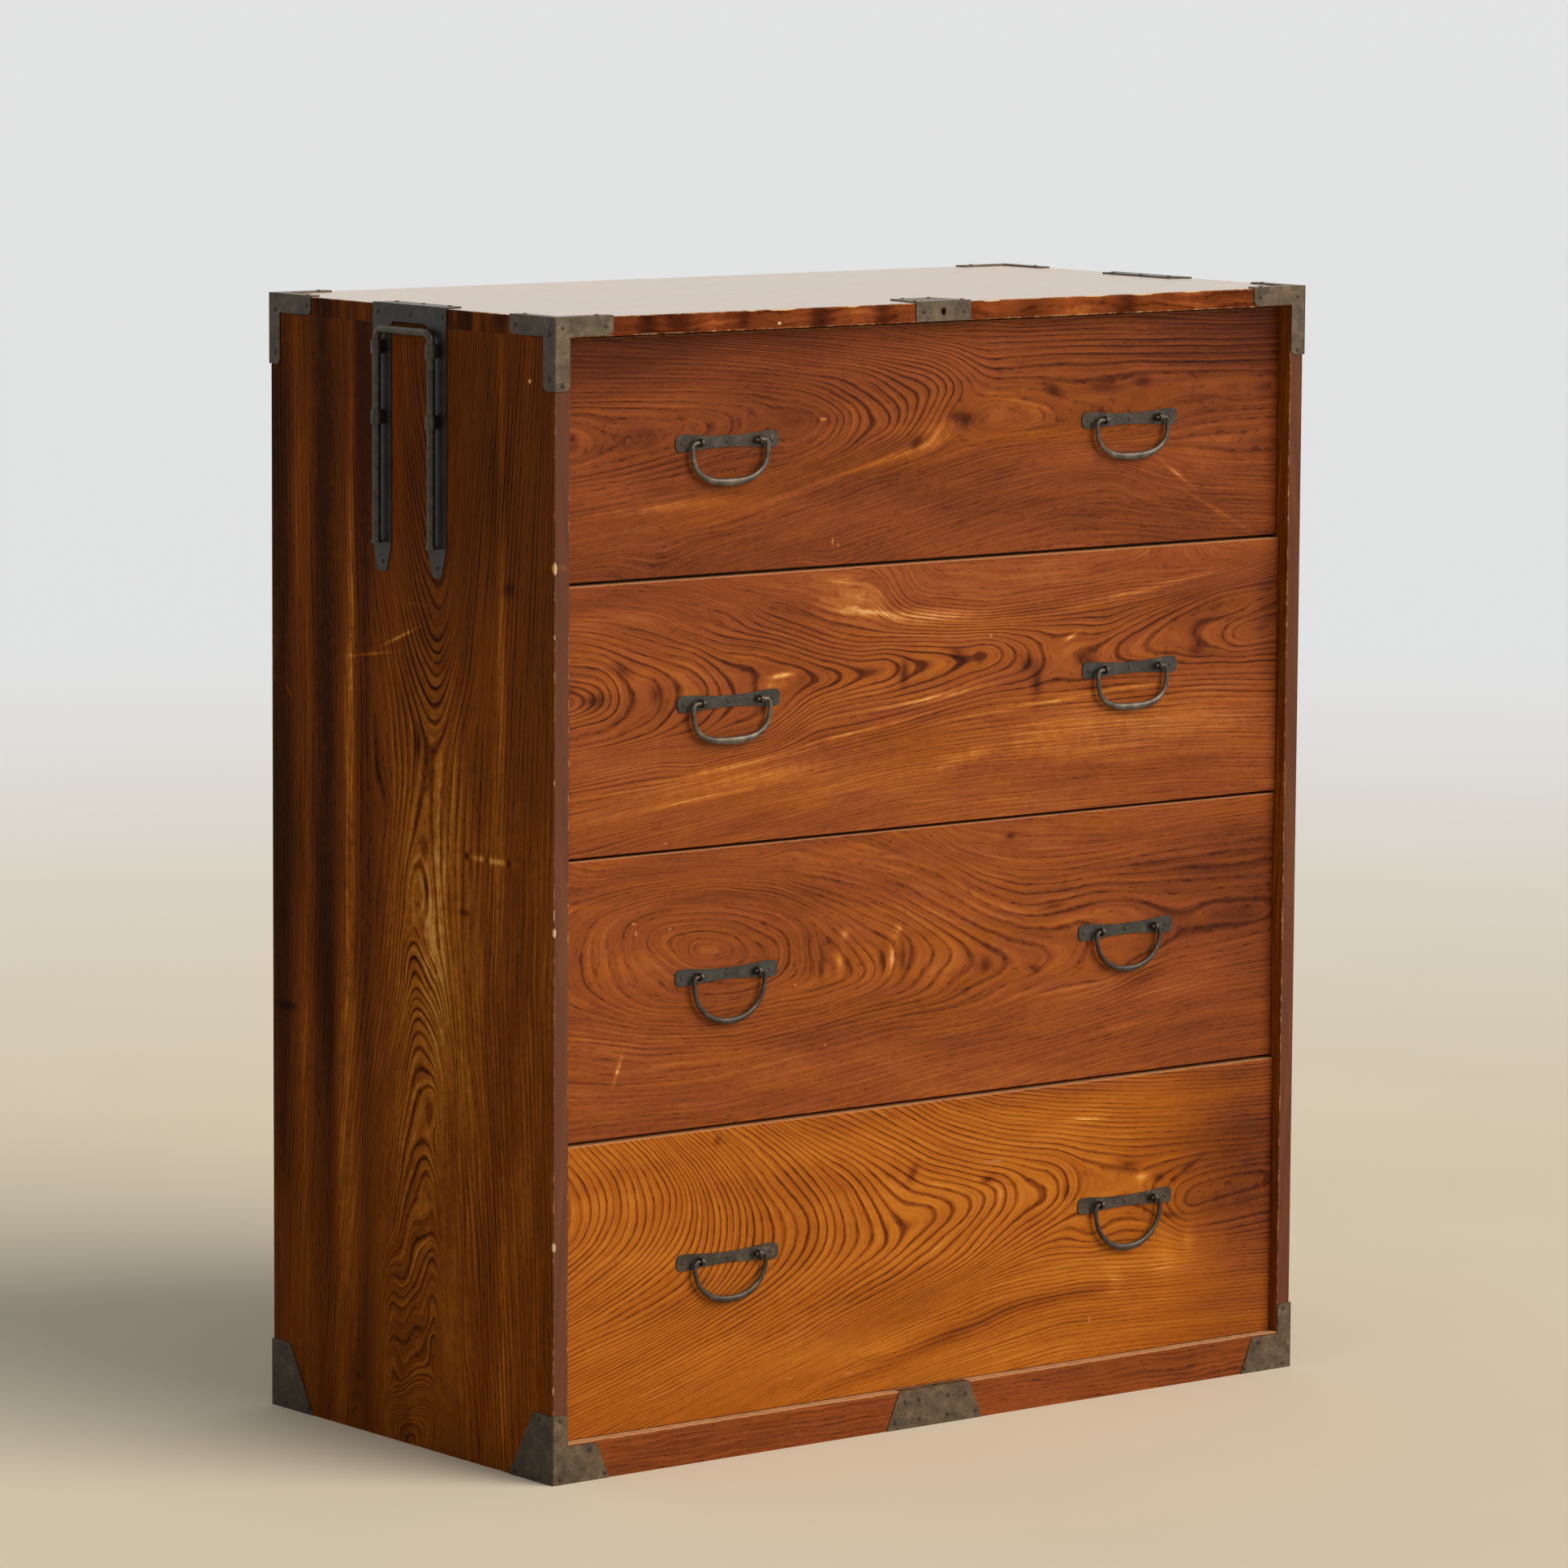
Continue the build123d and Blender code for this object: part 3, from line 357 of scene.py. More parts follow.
THIRD_FRONT_LINES = [
    (0, [150, 165, 165, 172, 190, 169, 202, 164, 180, 160, 155, 161, 150, 165]),
    (2, [
        111, 186, 150, 187, 180, 184, 200, 179, 222, 165, 236, 154, 200, 146, 150, 150, 125, 165,
        111, 186,
    ]),
    (5, [78, 190, 92, 200, 130, 204, 180, 203, 230, 192, 262, 178, 270, 165, 278, 147, 261, 134]),
    (5, [261, 134, 236, 123, 200, 118, 150, 120, 110, 132, 90, 150, 80, 172, 78, 190]),
    (7, [45, 185, 60, 205, 110, 214, 180, 214, 240, 203, 280, 188, 296, 165, 307, 148, 304, 129, 300, 121]),
    (7, [300, 121, 250, 116, 180, 108, 110, 112, 60, 135, 45, 165, 45, 185]),
    (9, [20, 185, 40, 210, 110, 222, 180, 223, 250, 212, 300, 190, 330, 170, 353, 145, 366, 129, 364, 120]),
    (9, [364, 120, 333, 112, 300, 106, 240, 106, 160, 98, 80, 110, 30, 135, 15, 160, 20, 185]),
    (12, [0, 215, 80, 230, 180, 232, 250, 221, 300, 202, 350, 180, 390, 162, 405, 147, 403, 129, 389, 115]),
    (12, [389, 115, 358, 105, 300, 96, 200, 88, 100, 96, 0, 118]),
    (13, [
        250, 226, 300, 209, 350, 192, 400, 170, 424, 152, 427, 142, 415, 121, 409, 113, 398, 107,
        358, 100,
    ]),
    (14, [
        250, 232, 300, 215, 350, 200, 400, 178, 440, 155, 459, 138, 445, 129, 440, 121, 432, 113,
        418, 104,
    ]),
    (14, [418, 104, 400, 100, 350, 95, 300, 85, 200, 78, 100, 84, 0, 104]),
    (15, [
        300, 222, 350, 207, 400, 185, 430, 166, 460, 148, 479, 132, 459, 124, 451, 113, 445, 102, 400, 93,
    ]),
    (16, [
        300, 228, 350, 213, 400, 193, 450, 166, 480, 150, 500, 134, 520, 118, 495, 117, 476, 108, 462, 96,
    ]),
    (17, [
        60, 248, 180, 246, 280, 236, 350, 220, 400, 203, 450, 176, 484, 157, 515, 143, 534, 135, 551, 124,
        568, 113,
    ]),
    (17, [
        568, 113, 529, 108, 509, 104, 495, 99, 482, 92, 450, 86, 400, 86, 300, 76, 200, 68, 100, 72,
        0, 90,
    ]),
    (18, [
        260, 250, 340, 232, 400, 213, 450, 192, 501, 166, 523, 158, 551, 149, 584, 138, 620, 131,
        626, 127,
    ]),
    (18, [626, 127, 612, 121, 596, 113, 570, 102, 550, 99, 529, 91, 501, 82, 450, 80, 400, 80, 300, 69]),
    (18, [300, 69, 200, 59, 100, 61, 0, 77]),
    (19, [
        340, 242, 400, 224, 450, 204, 501, 178, 523, 168, 557, 159, 584, 157, 626, 160, 657, 164,
        682, 163,
    ]),
    (19, [682, 163, 718, 152, 722, 144, 705, 133, 673, 124, 651, 116, 626, 107, 607, 99, 570, 94, 529, 84]),
    (19, [529, 84, 501, 75, 450, 73, 380, 72, 300, 62, 180, 50, 60, 54, 0, 65]),
    (20, [
        400, 236, 450, 216, 501, 190, 529, 178, 551, 169, 579, 170, 598, 172, 640, 177, 690, 174,
        723, 166,
    ]),
    (20, [723, 166, 746, 161, 798, 166, 870, 164]),
    (20, [870, 128, 798, 124, 751, 121, 723, 112, 690, 104, 668, 92, 634, 85, 598, 85, 568, 82, 529, 74]),
    (20, [529, 74, 480, 68, 400, 66, 300, 54, 180, 42, 60, 44, 0, 54]),
    (21, [
        410, 240, 450, 224, 501, 198, 529, 186, 557, 178, 598, 179, 640, 184, 698, 181, 779, 177,
        870, 176,
    ]),
    (22, [420, 246, 460, 226, 501, 206, 550, 193, 600, 190, 651, 193, 700, 189, 776, 186, 870, 187]),
    (24, [450, 238, 501, 218, 550, 205, 600, 202, 651, 206, 748, 210, 870, 212]),
    (28, [490, 244, 560, 230, 640, 228, 740, 232, 870, 236]),
    (22, [
        870, 112, 801, 105, 748, 104, 704, 97, 668, 84, 600, 74, 529, 64, 450, 57, 380, 54, 280, 42,
        160, 30, 0, 40,
    ]),
    (25, [870, 92, 800, 90, 720, 82, 640, 66, 560, 54, 480, 46, 400, 40, 300, 27, 180, 15, 0, 22]),
    (30, [870, 66, 780, 64, 700, 52, 620, 40, 520, 28, 440, 20, 360, 6]),
    (35, [870, 40, 780, 38, 680, 28, 580, 14, 520, 2]),
    (40, [870, 16, 780, 14, 700, 3]),
]
SECOND_FRONT_LINES = [
    (-8, [0, 149, 8, 147, 14, 145, 8, 142, 0, 140]),
    (-6, [0, 154, 14, 150, 31, 145, 16, 138, 0, 135]),
    (6, [222, 168, 240, 161, 259, 148, 246, 134, 228, 118]),
    (7, [228, 178, 262, 168, 290, 159, 303, 149, 285, 137, 262, 125, 243, 110]),
    (-4, [0, 158, 25, 154, 48, 146, 46, 140, 20, 134, 0, 131]),
    (0, [0, 190, 30, 186, 56, 180, 67, 168, 75, 160, 97, 155, 113, 139, 97, 132, 78, 124, 56, 114, 6, 106]),
    (2, [40, 196, 100, 177, 117, 168, 139, 160, 160, 150, 165, 140, 130, 127, 114, 110, 60, 100, 0, 96]),
    (5, [90, 200, 150, 185, 178, 168, 205, 154, 215, 140, 190, 116, 150, 100, 100, 92, 0, 86]),
    (8, [
        130, 205, 203, 188, 236, 182, 264, 174, 292, 166, 319, 160, 342, 150, 320, 138, 290, 128,
        262, 112,
    ]),
    (8, [262, 112, 240, 100, 180, 94, 153, 89, 119, 95, 60, 90, 0, 80]),
    (10, [
        180, 205, 272, 181, 300, 171, 328, 164, 350, 163, 380, 166, 392, 163, 401, 146, 392, 138,
        367, 135,
    ]),
    (10, [367, 135, 333, 131, 300, 124, 275, 115, 262, 104]),
    (12, [
        220, 208, 300, 181, 330, 175, 350, 171, 400, 170, 430, 167, 458, 163, 472, 157, 486, 149,
        497, 146,
    ]),
    (12, [497, 146, 477, 142, 430, 132, 389, 127, 350, 123, 319, 121, 294, 118, 272, 110, 262, 100]),
    (12, [262, 100, 240, 92, 180, 86, 153, 80, 110, 84, 0, 74]),
    (14, [
        250, 212, 320, 186, 347, 181, 400, 176, 450, 175, 499, 177, 522, 174, 533, 164, 547, 155,
        556, 149,
    ]),
    (14, [556, 149, 527, 139, 499, 134, 458, 125, 430, 120, 400, 117, 350, 113, 300, 109, 285, 100]),
    (14, [285, 100, 250, 88, 200, 80, 155, 73, 100, 76, 0, 66]),
    (16, [
        320, 202, 400, 186, 450, 181, 500, 178, 547, 176, 563, 168, 574, 161, 588, 156, 612, 156,
        638, 159,
    ]),
    (16, [638, 159, 660, 167, 674, 175, 696, 182, 724, 188, 749, 195, 800, 206, 870, 214]),
    (16, [873, 118, 780, 122, 700, 126, 640, 132, 597, 141, 569, 132, 540, 124, 500, 122, 472, 118]),
    (16, [472, 118, 430, 110, 400, 104, 350, 99, 300, 93, 240, 80, 160, 67, 80, 62, 0, 56]),
    (18, [
        400, 194, 450, 187, 499, 184, 549, 185, 583, 182, 619, 181, 652, 178, 669, 181, 708, 193,
        760, 202, 870, 220,
    ]),
    (18, [873, 106, 780, 112, 700, 114, 640, 112, 549, 112, 513, 113, 486, 110, 430, 102, 380, 94, 300, 84]),
    (18, [300, 84, 200, 66, 150, 59, 60, 52, 0, 46]),
    (20, [420, 198, 470, 191, 549, 190, 611, 193, 636, 197, 669, 198, 708, 199, 760, 207, 870, 226]),
    (20, [
        873, 96, 780, 102, 640, 101, 549, 100, 500, 100, 450, 96, 400, 88, 300, 75, 200, 57, 100, 46,
        0, 37,
    ]),
    (23, [
        380, 215, 450, 203, 500, 198, 560, 199, 610, 202, 644, 204, 680, 210, 722, 209, 763, 213,
        820, 219, 870, 232,
    ]),
    (7, [0, 226, 60, 222, 120, 210]),
    (11, [0, 245, 80, 240, 150, 230, 210, 214]),
    (19, [200, 245, 280, 236, 360, 222, 400, 212]),
    (28, [450, 228, 520, 222, 620, 224, 700, 234, 760, 246]),
    (15, [612, 150, 650, 155, 680, 166, 708, 175, 736, 186, 780, 198, 850, 208]),
    (14, [666, 149, 694, 163, 722, 175, 749, 184, 777, 196, 850, 203]),
    (13, [719, 152, 749, 163, 777, 174, 797, 182, 860, 196]),
    (12, [763, 149, 788, 161, 813, 171, 866, 186]),
    (10, [812, 150, 827, 166, 866, 174]),
    (14, [700, 142, 760, 136, 873, 132]),
    (24, [0, 28, 100, 38, 150, 47, 200, 53, 278, 62, 350, 71, 450, 78, 550, 82, 660, 82, 760, 80, 873, 74]),
    (28, [0, 14, 100, 24, 200, 38, 300, 49, 400, 61, 500, 66, 600, 66, 700, 68, 800, 64, 873, 58]),
    (34, [100, 3, 200, 16, 300, 28, 400, 40, 500, 44, 620, 44, 750, 42, 873, 34]),
    (40, [300, 4, 400, 16, 500, 20, 620, 20, 750, 18, 873, 10]),
]
TOP_FRONT_LINES = [
    (-6, [50, 112, 110, 118, 130, 130, 100, 142, 50, 140]),
    (-3, [0, 86, 60, 92, 150, 104, 215, 120, 240, 140, 225, 155, 150, 162, 60, 166, 0, 168]),
    (0, [0, 72, 80, 80, 180, 90, 260, 100, 300, 109, 328, 125, 325, 139, 312, 152, 285, 162]),
    (0, [285, 162, 230, 170, 120, 176, 0, 180]),
    (2, [0, 60, 80, 68, 150, 75, 200, 80, 250, 89, 292, 100, 314, 108, 333, 119, 349, 133]),
    (2, [349, 133, 336, 147, 319, 158, 285, 168, 220, 178, 140, 184, 0, 190]),
    (4, [0, 50, 80, 60, 150, 68, 200, 74, 250, 83, 300, 95, 328, 103, 347, 114, 364, 128, 375, 141]),
    (4, [375, 141, 361, 149, 340, 160, 310, 172, 250, 182, 150, 192, 0, 200]),
    (7, [0, 40, 60, 48, 150, 60, 220, 68, 280, 80, 333, 91, 369, 103, 389, 114, 408, 130, 414, 147]),
    (8, [425, 147, 422, 158, 411, 165, 389, 172, 375, 180, 340, 188, 280, 196, 200, 204, 100, 212]),
    (11, [459, 155, 455, 166, 444, 176, 430, 182, 400, 188, 350, 194, 300, 200, 240, 207, 150, 216]),
    (11, [459, 155, 447, 139, 436, 126, 425, 113, 400, 102, 360, 92, 300, 79, 200, 58, 120, 46, 0, 28]),
    (13, [
        300, 206, 400, 193, 430, 187, 452, 182, 466, 173, 480, 164, 484, 155, 472, 148, 460, 138,
        474, 129,
    ]),
    (12, [440, 112, 417, 103, 389, 97, 350, 86, 333, 83, 300, 75, 250, 64, 200, 54, 120, 42, 0, 24]),
    (15, [300, 210, 380, 202, 430, 196, 463, 189, 486, 175, 499, 164, 549, 161, 580, 157, 594, 153]),
    (15, [594, 153, 619, 147, 652, 147, 694, 148, 722, 154, 800, 156, 870, 154]),
    (15, [870, 136, 800, 139, 741, 141, 726, 134, 680, 120, 600, 110, 520, 106, 460, 96, 400, 80]),
    (15, [400, 80, 340, 66, 280, 52, 200, 36, 100, 20]),
    (16, [
        300, 216, 400, 206, 463, 197, 500, 174, 527, 171, 599, 171, 649, 169, 699, 172, 780, 168,
        870, 166,
    ]),
    (17, [470, 196, 508, 180, 599, 182, 652, 179, 699, 179, 800, 176, 870, 176]),
    (18, [380, 212, 430, 205, 486, 190, 549, 190, 624, 190, 699, 187, 749, 185, 799, 183, 870, 183]),
    (20, [430, 210, 486, 205, 549, 203, 652, 201, 799, 197, 870, 196]),
    (22, [480, 216, 549, 211, 652, 213, 749, 208, 799, 205, 870, 204]),
    (18, [870, 112, 780, 108, 700, 98, 600, 98, 513, 94, 450, 80, 400, 68, 320, 50, 240, 34, 150, 16]),
    (22, [870, 62, 799, 68, 749, 76, 700, 88, 640, 90, 560, 84, 480, 70, 400, 54, 300, 34, 200, 14]),
    (26, [870, 46, 799, 52, 749, 58, 708, 66, 680, 76, 640, 78, 560, 68, 480, 54, 400, 38, 300, 16]),
    (31, [870, 26, 780, 32, 700, 44, 660, 56, 600, 54, 520, 40, 440, 24, 360, 6]),
    (36, [780, 8, 680, 22, 600, 28, 520, 16]),
]
LEFT_SIDE_LINES = [
    (-5, [1050, 240, 960, 228, 900, 212, 862, 196, 850, 184, 862, 174, 900, 165, 1050, 152]),
    (-2, [
        1050, 254, 950, 240, 880, 224, 840, 210, 812, 196, 800, 184, 812, 172, 850, 160, 950, 150,
        1050, 142,
    ]),
    (0, [
        1040, 262, 928, 248, 883, 237, 843, 222, 809, 207, 783, 196, 765, 185, 776, 174, 794, 163,
        828, 154,
    ]),
    (0, [828, 154, 865, 149, 950, 142, 1050, 134]),
    (2, [
        1040, 272, 940, 258, 880, 245, 820, 230, 791, 218, 761, 202, 744, 183, 761, 167, 783, 156,
        813, 148,
    ]),
    (2, [813, 148, 870, 142, 1040, 126]),
    (4, [
        1040, 280, 930, 266, 860, 250, 800, 233, 765, 218, 739, 200, 722, 181, 742, 165, 772, 152,
        820, 142,
    ]),
    (4, [820, 142, 900, 134, 1040, 118]),
    (6, [
        1040, 288, 920, 274, 840, 256, 790, 243, 757, 233, 731, 222, 709, 207, 691, 185, 709, 170,
        735, 157,
    ]),
    (6, [735, 157, 761, 148, 820, 136, 1040, 110]),
    (8, [
        1040, 100, 900, 118, 800, 130, 740, 142, 717, 150, 687, 163, 657, 178, 624, 181, 576, 183,
        540, 181,
    ]),
    (8, [540, 181, 500, 174, 450, 166, 400, 158, 300, 148, 200, 138, 0, 120]),
    (8, [
        1040, 296, 900, 282, 800, 258, 740, 240, 698, 220, 676, 211, 643, 213, 613, 218, 576, 226,
        540, 237,
    ]),
    (8, [540, 237, 500, 242, 450, 248, 400, 257, 330, 274, 286, 286, 245, 298, 197, 304, 100, 310, 0, 316]),
    (10, [
        1040, 303, 900, 291, 800, 272, 740, 254, 698, 241, 661, 235, 624, 233, 587, 241, 550, 246,
        480, 254,
    ]),
    (10, [480, 254, 400, 267, 300, 292, 200, 314, 0, 330]),
    (12, [
        1040, 310, 800, 284, 698, 259, 643, 252, 606, 249, 540, 258, 440, 272, 300, 304, 150, 326, 0, 342,
    ]),
    (10, [1040, 90, 850, 110, 740, 126, 680, 148, 624, 155, 568, 159, 500, 156, 400, 144, 200, 122, 0, 104]),
    (6, [
        0, 298, 100, 300, 197, 298, 245, 292, 286, 281, 330, 267, 367, 255, 404, 244, 434, 237, 464, 230,
        486, 226,
    ]),
    (6, [486, 226, 471, 207, 456, 189, 441, 178, 419, 170, 393, 163, 300, 154, 200, 148, 0, 134]),
    (4, [0, 290, 120, 292, 252, 285, 301, 270, 352, 255, 404, 241, 441, 229, 471, 224, 441, 204, 430, 185]),
    (4, [430, 185, 412, 176, 382, 167, 300, 160, 180, 156, 0, 146]),
    (2, [
        160, 284, 240, 272, 319, 255, 375, 241, 412, 230, 434, 217, 421, 200, 408, 185, 386, 174,
        330, 166, 200, 162,
    ]),
    (-1, [200, 268, 300, 250, 353, 237, 390, 222, 402, 211, 392, 196, 367, 181, 352, 172, 320, 168]),
    (-3, [240, 254, 300, 240, 340, 228, 375, 212, 365, 196, 345, 182, 318, 174]),
    (-5, [178, 274, 190, 254, 240, 240, 290, 224, 315, 207, 300, 194, 262, 180, 225, 172, 190, 164]),
    (-8, [150, 276, 162, 254, 190, 236, 222, 222, 236, 205, 222, 190, 190, 174, 160, 163]),
    (-12, [110, 276, 124, 252, 141, 226, 160, 208, 190, 196, 170, 184, 140, 174, 110, 165]),
    (-14, [64, 276, 97, 252, 118, 224, 140, 200, 120, 182, 85, 170]),
    (-16, [20, 280, 50, 256, 75, 226, 85, 200, 60, 178, 20, 170]),
    (15, [1040, 322, 700, 300, 450, 300, 200, 340, 0, 356]),
    (20, [1040, 345, 700, 330, 450, 336, 200, 366, 0, 378]),
    (27, [1040, 388, 700, 378, 450, 384, 200, 404, 0, 412]),
    (34, [1040, 434, 700, 428, 450, 430, 200, 440, 0, 444]),
    (15, [1040, 62, 700, 96, 450, 112, 200, 90, 0, 76]),
    (21, [1040, 26, 700, 56, 450, 68, 200, 50, 0, 40]),
    (27, [1040, 2, 700, 14, 450, 22, 200, 12, 0, 6]),
]


# ---------------------------------------------------------------- wood
RED_TONES = [
    (0.0, (38, 14, 8)), (0.3, (82, 36, 15)), (0.6, (140, 70, 32)), (0.8, (172, 100, 46)),
    (1.0, (214, 156, 92)),
]
GOLD_TONES = [
    (0.0, (54, 20, 4)), (0.3, (104, 47, 9)), (0.6, (158, 84, 18)), (0.8, (186, 110, 32)),
    (1.0, (228, 176, 104)),
]
DARK_TONES = [
    (0.0, (26, 11, 4)), (0.3, (60, 28, 7)), (0.6, (120, 60, 12)), (0.8, (164, 96, 24)),
    (1.0, (212, 152, 76)),
]
PALE_TONES = [
    (0.0, (92, 66, 42)), (0.3, (134, 100, 66)), (0.6, (172, 136, 96)), (0.8, (192, 158, 116)),
    (1.0, (212, 184, 144)),
]
WORN_WOOD = linear(206, 154, 106)
BARE_WOOD = linear(206, 176, 132)
FRONT_CHIP = linear(170, 106, 58)

# Noise in the wood: its steps per millimetre along the fibres and across them, and its detail.
DRIFT = (0.011, 0.03, 3)
RIPPLE = (0.1, 0.12, 2)
CLOUDS = (0.003, 0.018, 4)
GOLDEN = (0.008, 0.05, 3)
# Noise that follows the rings: its steps per millimetre along the board and per ring, and its detail.
BOLDNESS = (0.007, 0.8, 3)
STREAKS = (0.012, 1.9, 3)
FIBRES = (0.02, 8.0, 2)
PORES = (0.09, 4.0, 2)
# Noise alike in all directions.
GRIT_SCALE = 0.09

# How far into a board, in millimetres, a look that belongs to one of its faces alone reaches.
FACE_SKIN = (0.3, 0.6)
COAT_SKIN = (0.1, 0.6)
# The worn edge fades out between these distances from it.
WORN_EDGE = (0.3, 1.5)
WORN_FACE = (0.2, 1.5)
# Below a board's top: where wear starts again under the board above it, or beside end grain.
SEAM_REACH = (3.0, 6.0)
END_REACH = (6.0, 9.0)


def edge_distance(graph, low, high):
    """How far a point on a box's surface is from the nearest of its edges, in millimetres."""
    gaps = [
        graph.math("MINIMUM", place - float(start), float(end) - place)
        for place, start, end in zip(graph.xyz, low, high)
    ]
    wider = [graph.math("MAXIMUM", gaps[a], gaps[b]) for a, b in ((0, 1), (1, 2), (0, 2))]
    return graph.math("MINIMUM", graph.math("MINIMUM", wider[0], wider[1]), wider[2])


def wood(
    node,
    grain,
    tones,
    lines=None,
    spacing=5.0,
    bold=0.3,
    bold_spots=(),
    contrast=0.5,
    cloud=0.5,
    level=0.6,
    gold=None,
    gold_spots=(),
    wear=0.3,
    top_wear=0.0,
    spots=(),
    shine=0.4,
    gleam=0.06,
    top_coat=None,
    front_tint=None,
    top_painted_sheen=None,
    ends=False,
    seam=False,
    chips=(),
    chip_tint=BARE_WOOD,
):
    """A board's material. grain names the axes along the fibres, across the board and through it.

    bold is how strongly its ring lines show away from bold_spots, gold how far the colour goes
    to golden tones away from gold_spots; spots lighten or darken it. All spots are of
    (along, across, half length, half width, turn in degrees, amount), and chips end at the width.
    """
    low, high = (np.array(corner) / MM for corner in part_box(node))
    graph = Graph(node + "_wood")
    axes = ["xyz".index(axis) for axis in grain]
    u, v, w = (graph.xyz[axis] - float(low[axis]) for axis in axes)
    length, width = (float(high[axis] - low[axis]) for axis in axes[:2])

    def by_fibre(along, across, detail):
        return graph.noise(graph.vector(u * along, v * across, w * across), detail=detail)

    def by_ring(along, across, detail):
        return graph.noise(graph.vector(u * along, rings * across, v * along), detail=detail)

    drift = by_fibre(*DRIFT)
    if lines:
        rings = ring_sheet(graph, u, v + w * 0.4, length, width, lines) + drift * 0.4
    else:
        rings = (v + w * 0.6) / spacing + drift * 3.0
    rings = rings + by_fibre(*RIPPLE) * 0.12
    phase = graph.math("FRACT", rings)
    off_line = graph.math("ABSOLUTE", phase * 2.0 - 1.0)
    line = graph.fall(off_line, 0.05, 0.5)

    strength = by_ring(*BOLDNESS) * 1.5 + bold
    if bold_spots:
        strength = strength + graph.marks(u, v, bold_spots)
    strength = graph.clamp(strength) * contrast
    streaks = by_ring(*STREAKS)
    pores = graph.rise(by_ring(*PORES) + line * 0.1, 0.1, 0.24)
    grit = graph.noise(graph.place, scale=GRIT_SCALE, detail=5, roughness=0.7)
    tone = graph.sum(
        [
            by_fibre(*CLOUDS) * cloud + level,
            streaks * 0.4,
            by_ring(*FIBRES) * 0.2,
            grit * 0.16,
            phase * 0.06,
            line * strength * -1.0,
            pores * -0.14,
        ]
    )
    if spots:
        tone = tone + graph.marks(u, v, spots) * (streaks * 1.6 + grit * 1.6 + 1.0)
    colour = graph.ramp(tone, tones)
    if gold is not None:
        share = by_fibre(*GOLDEN) * 1.6 + gold
        if gold_spots:
            share = share + graph.marks(u, v, gold_spots)
        colour = graph.mix(colour, graph.ramp(tone, GOLD_TONES), graph.clamp(share))
    if ends:
        x, y, z = graph.xyz
        end = graph.fall(graph.math("MINIMUM", x - float(low[0]), float(high[0]) - x), *FACE_SKIN)
        figure = graph.noise(graph.vector(y * 0.05, z * 0.01), detail=4)
        colour = graph.mix(colour, graph.ramp(figure * 1.2 + 0.36, DARK_TONES), end)
    if front_tint:
        front = graph.fall(graph.xyz[1] - float(low[1]), *FACE_SKIN)
        colour = graph.mix(colour, linear(*front_tint), front * 0.8)
    below_top = float(high[2]) - graph.xyz[2]
    # painted reflection: the top face is mixed towards a paler brown, standing in for part of the pale sheen
    # it shows from a low view
    if top_painted_sheen:
        colour = graph.mix(colour, linear(*top_painted_sheen), graph.fall(below_top, *FACE_SKIN) * 0.55)

    edge = edge_distance(graph, low, high)
    rubbed = graph.fall(edge, *WORN_EDGE) * graph.rise(grit, 0.2 - wear * 0.3, 0.34)
    if seam:
        rubbed = rubbed * graph.rise(below_top, *SEAM_REACH)
    if ends:
        rubbed = rubbed * (1.0 - end * graph.rise(below_top, *END_REACH))
    bare = graph.fall(below_top + grit * 4.0, *WORN_FACE) * (grit * 1.6 + 0.8) * top_wear
    bare = graph.clamp(graph.math("MAXIMUM", rubbed * wear * 1.8, bare))
    colour = graph.mix(colour, WORN_WOOD, bare)
    if chips:
        chip = graph.sum([graph.spot(u, v + w, *place) for place in chips])
        colour = graph.mix(colour, chip_tint, graph.rise(chip + grit * 0.9, 0.35, 0.5))
    gloss = graph.clamp(grit * 0.16 + line * strength * 0.1 + bare * 0.3 + shine)
    height = line * strength * -0.06 + pores * -0.04 + streaks * 0.02
    coat = None
    if top_coat:
        coat = graph.fall(below_top, *COAT_SKIN) * top_coat
    return graph.shader(colour, gloss, height, depth=0.8, specular=gleam, coat=coat)


TOP_FRONT = dict(
    tones=RED_TONES, contrast=0.37, lines=TOP_FRONT_LINES, level=0.46, gold=-0.05,
    gold_spots=[(560, 130, 200, 40, 0, 0.5), (250, 75, 220, 22, 10, 0.45)],
    bold=0.14,
    bold_spots=[
        (405, 148, 80, 40, 10, 0.6), (690, 182, 230, 34, 0, 0.5), (250, 195, 160, 22, -4, 0.2),
        (436, 20, 500, 70, 0, -0.5),
    ],
    spots=[
        (478, 129, 9, 7, 0, -0.4), (464, 133, 8, 5, 20, -0.3), (418, 110, 9, 5, 30, -0.3),
        (585, 153, 12, 5, -20, -0.35), (650, 153, 26, 5, 0, -0.22), (698, 156, 10, 5, 0, -0.25),
        (445, 120, 20, 8, 35, 0.22), (430, 106, 22, 6, 20, 0.2), (545, 142, 70, 12, -5, 0.12),
        (300, 77, 120, 2.4, 14, 0.15), (110, 64, 60, 4, 3, 0.15), (395, 98, 40, 3, 14, 0.21),
        (742, 66, 26, 2.0, -34, 0.24), (790, 30, 42, 1.8, -27, 0.18), (8, 70, 3, 55, 0, 0.22),
        # The first spot below darkens the front's left end under the top board: a painted shadow of the
        # top's overhang.
        (40, 205, 120, 34, 0, -0.18), (850, 200, 60, 40, 0, -0.1),
    ],
    chips=[(305, 137, 4, 1.6), (317, 22, 1.2, 3), (324, 18, 1.0, 2)],
)
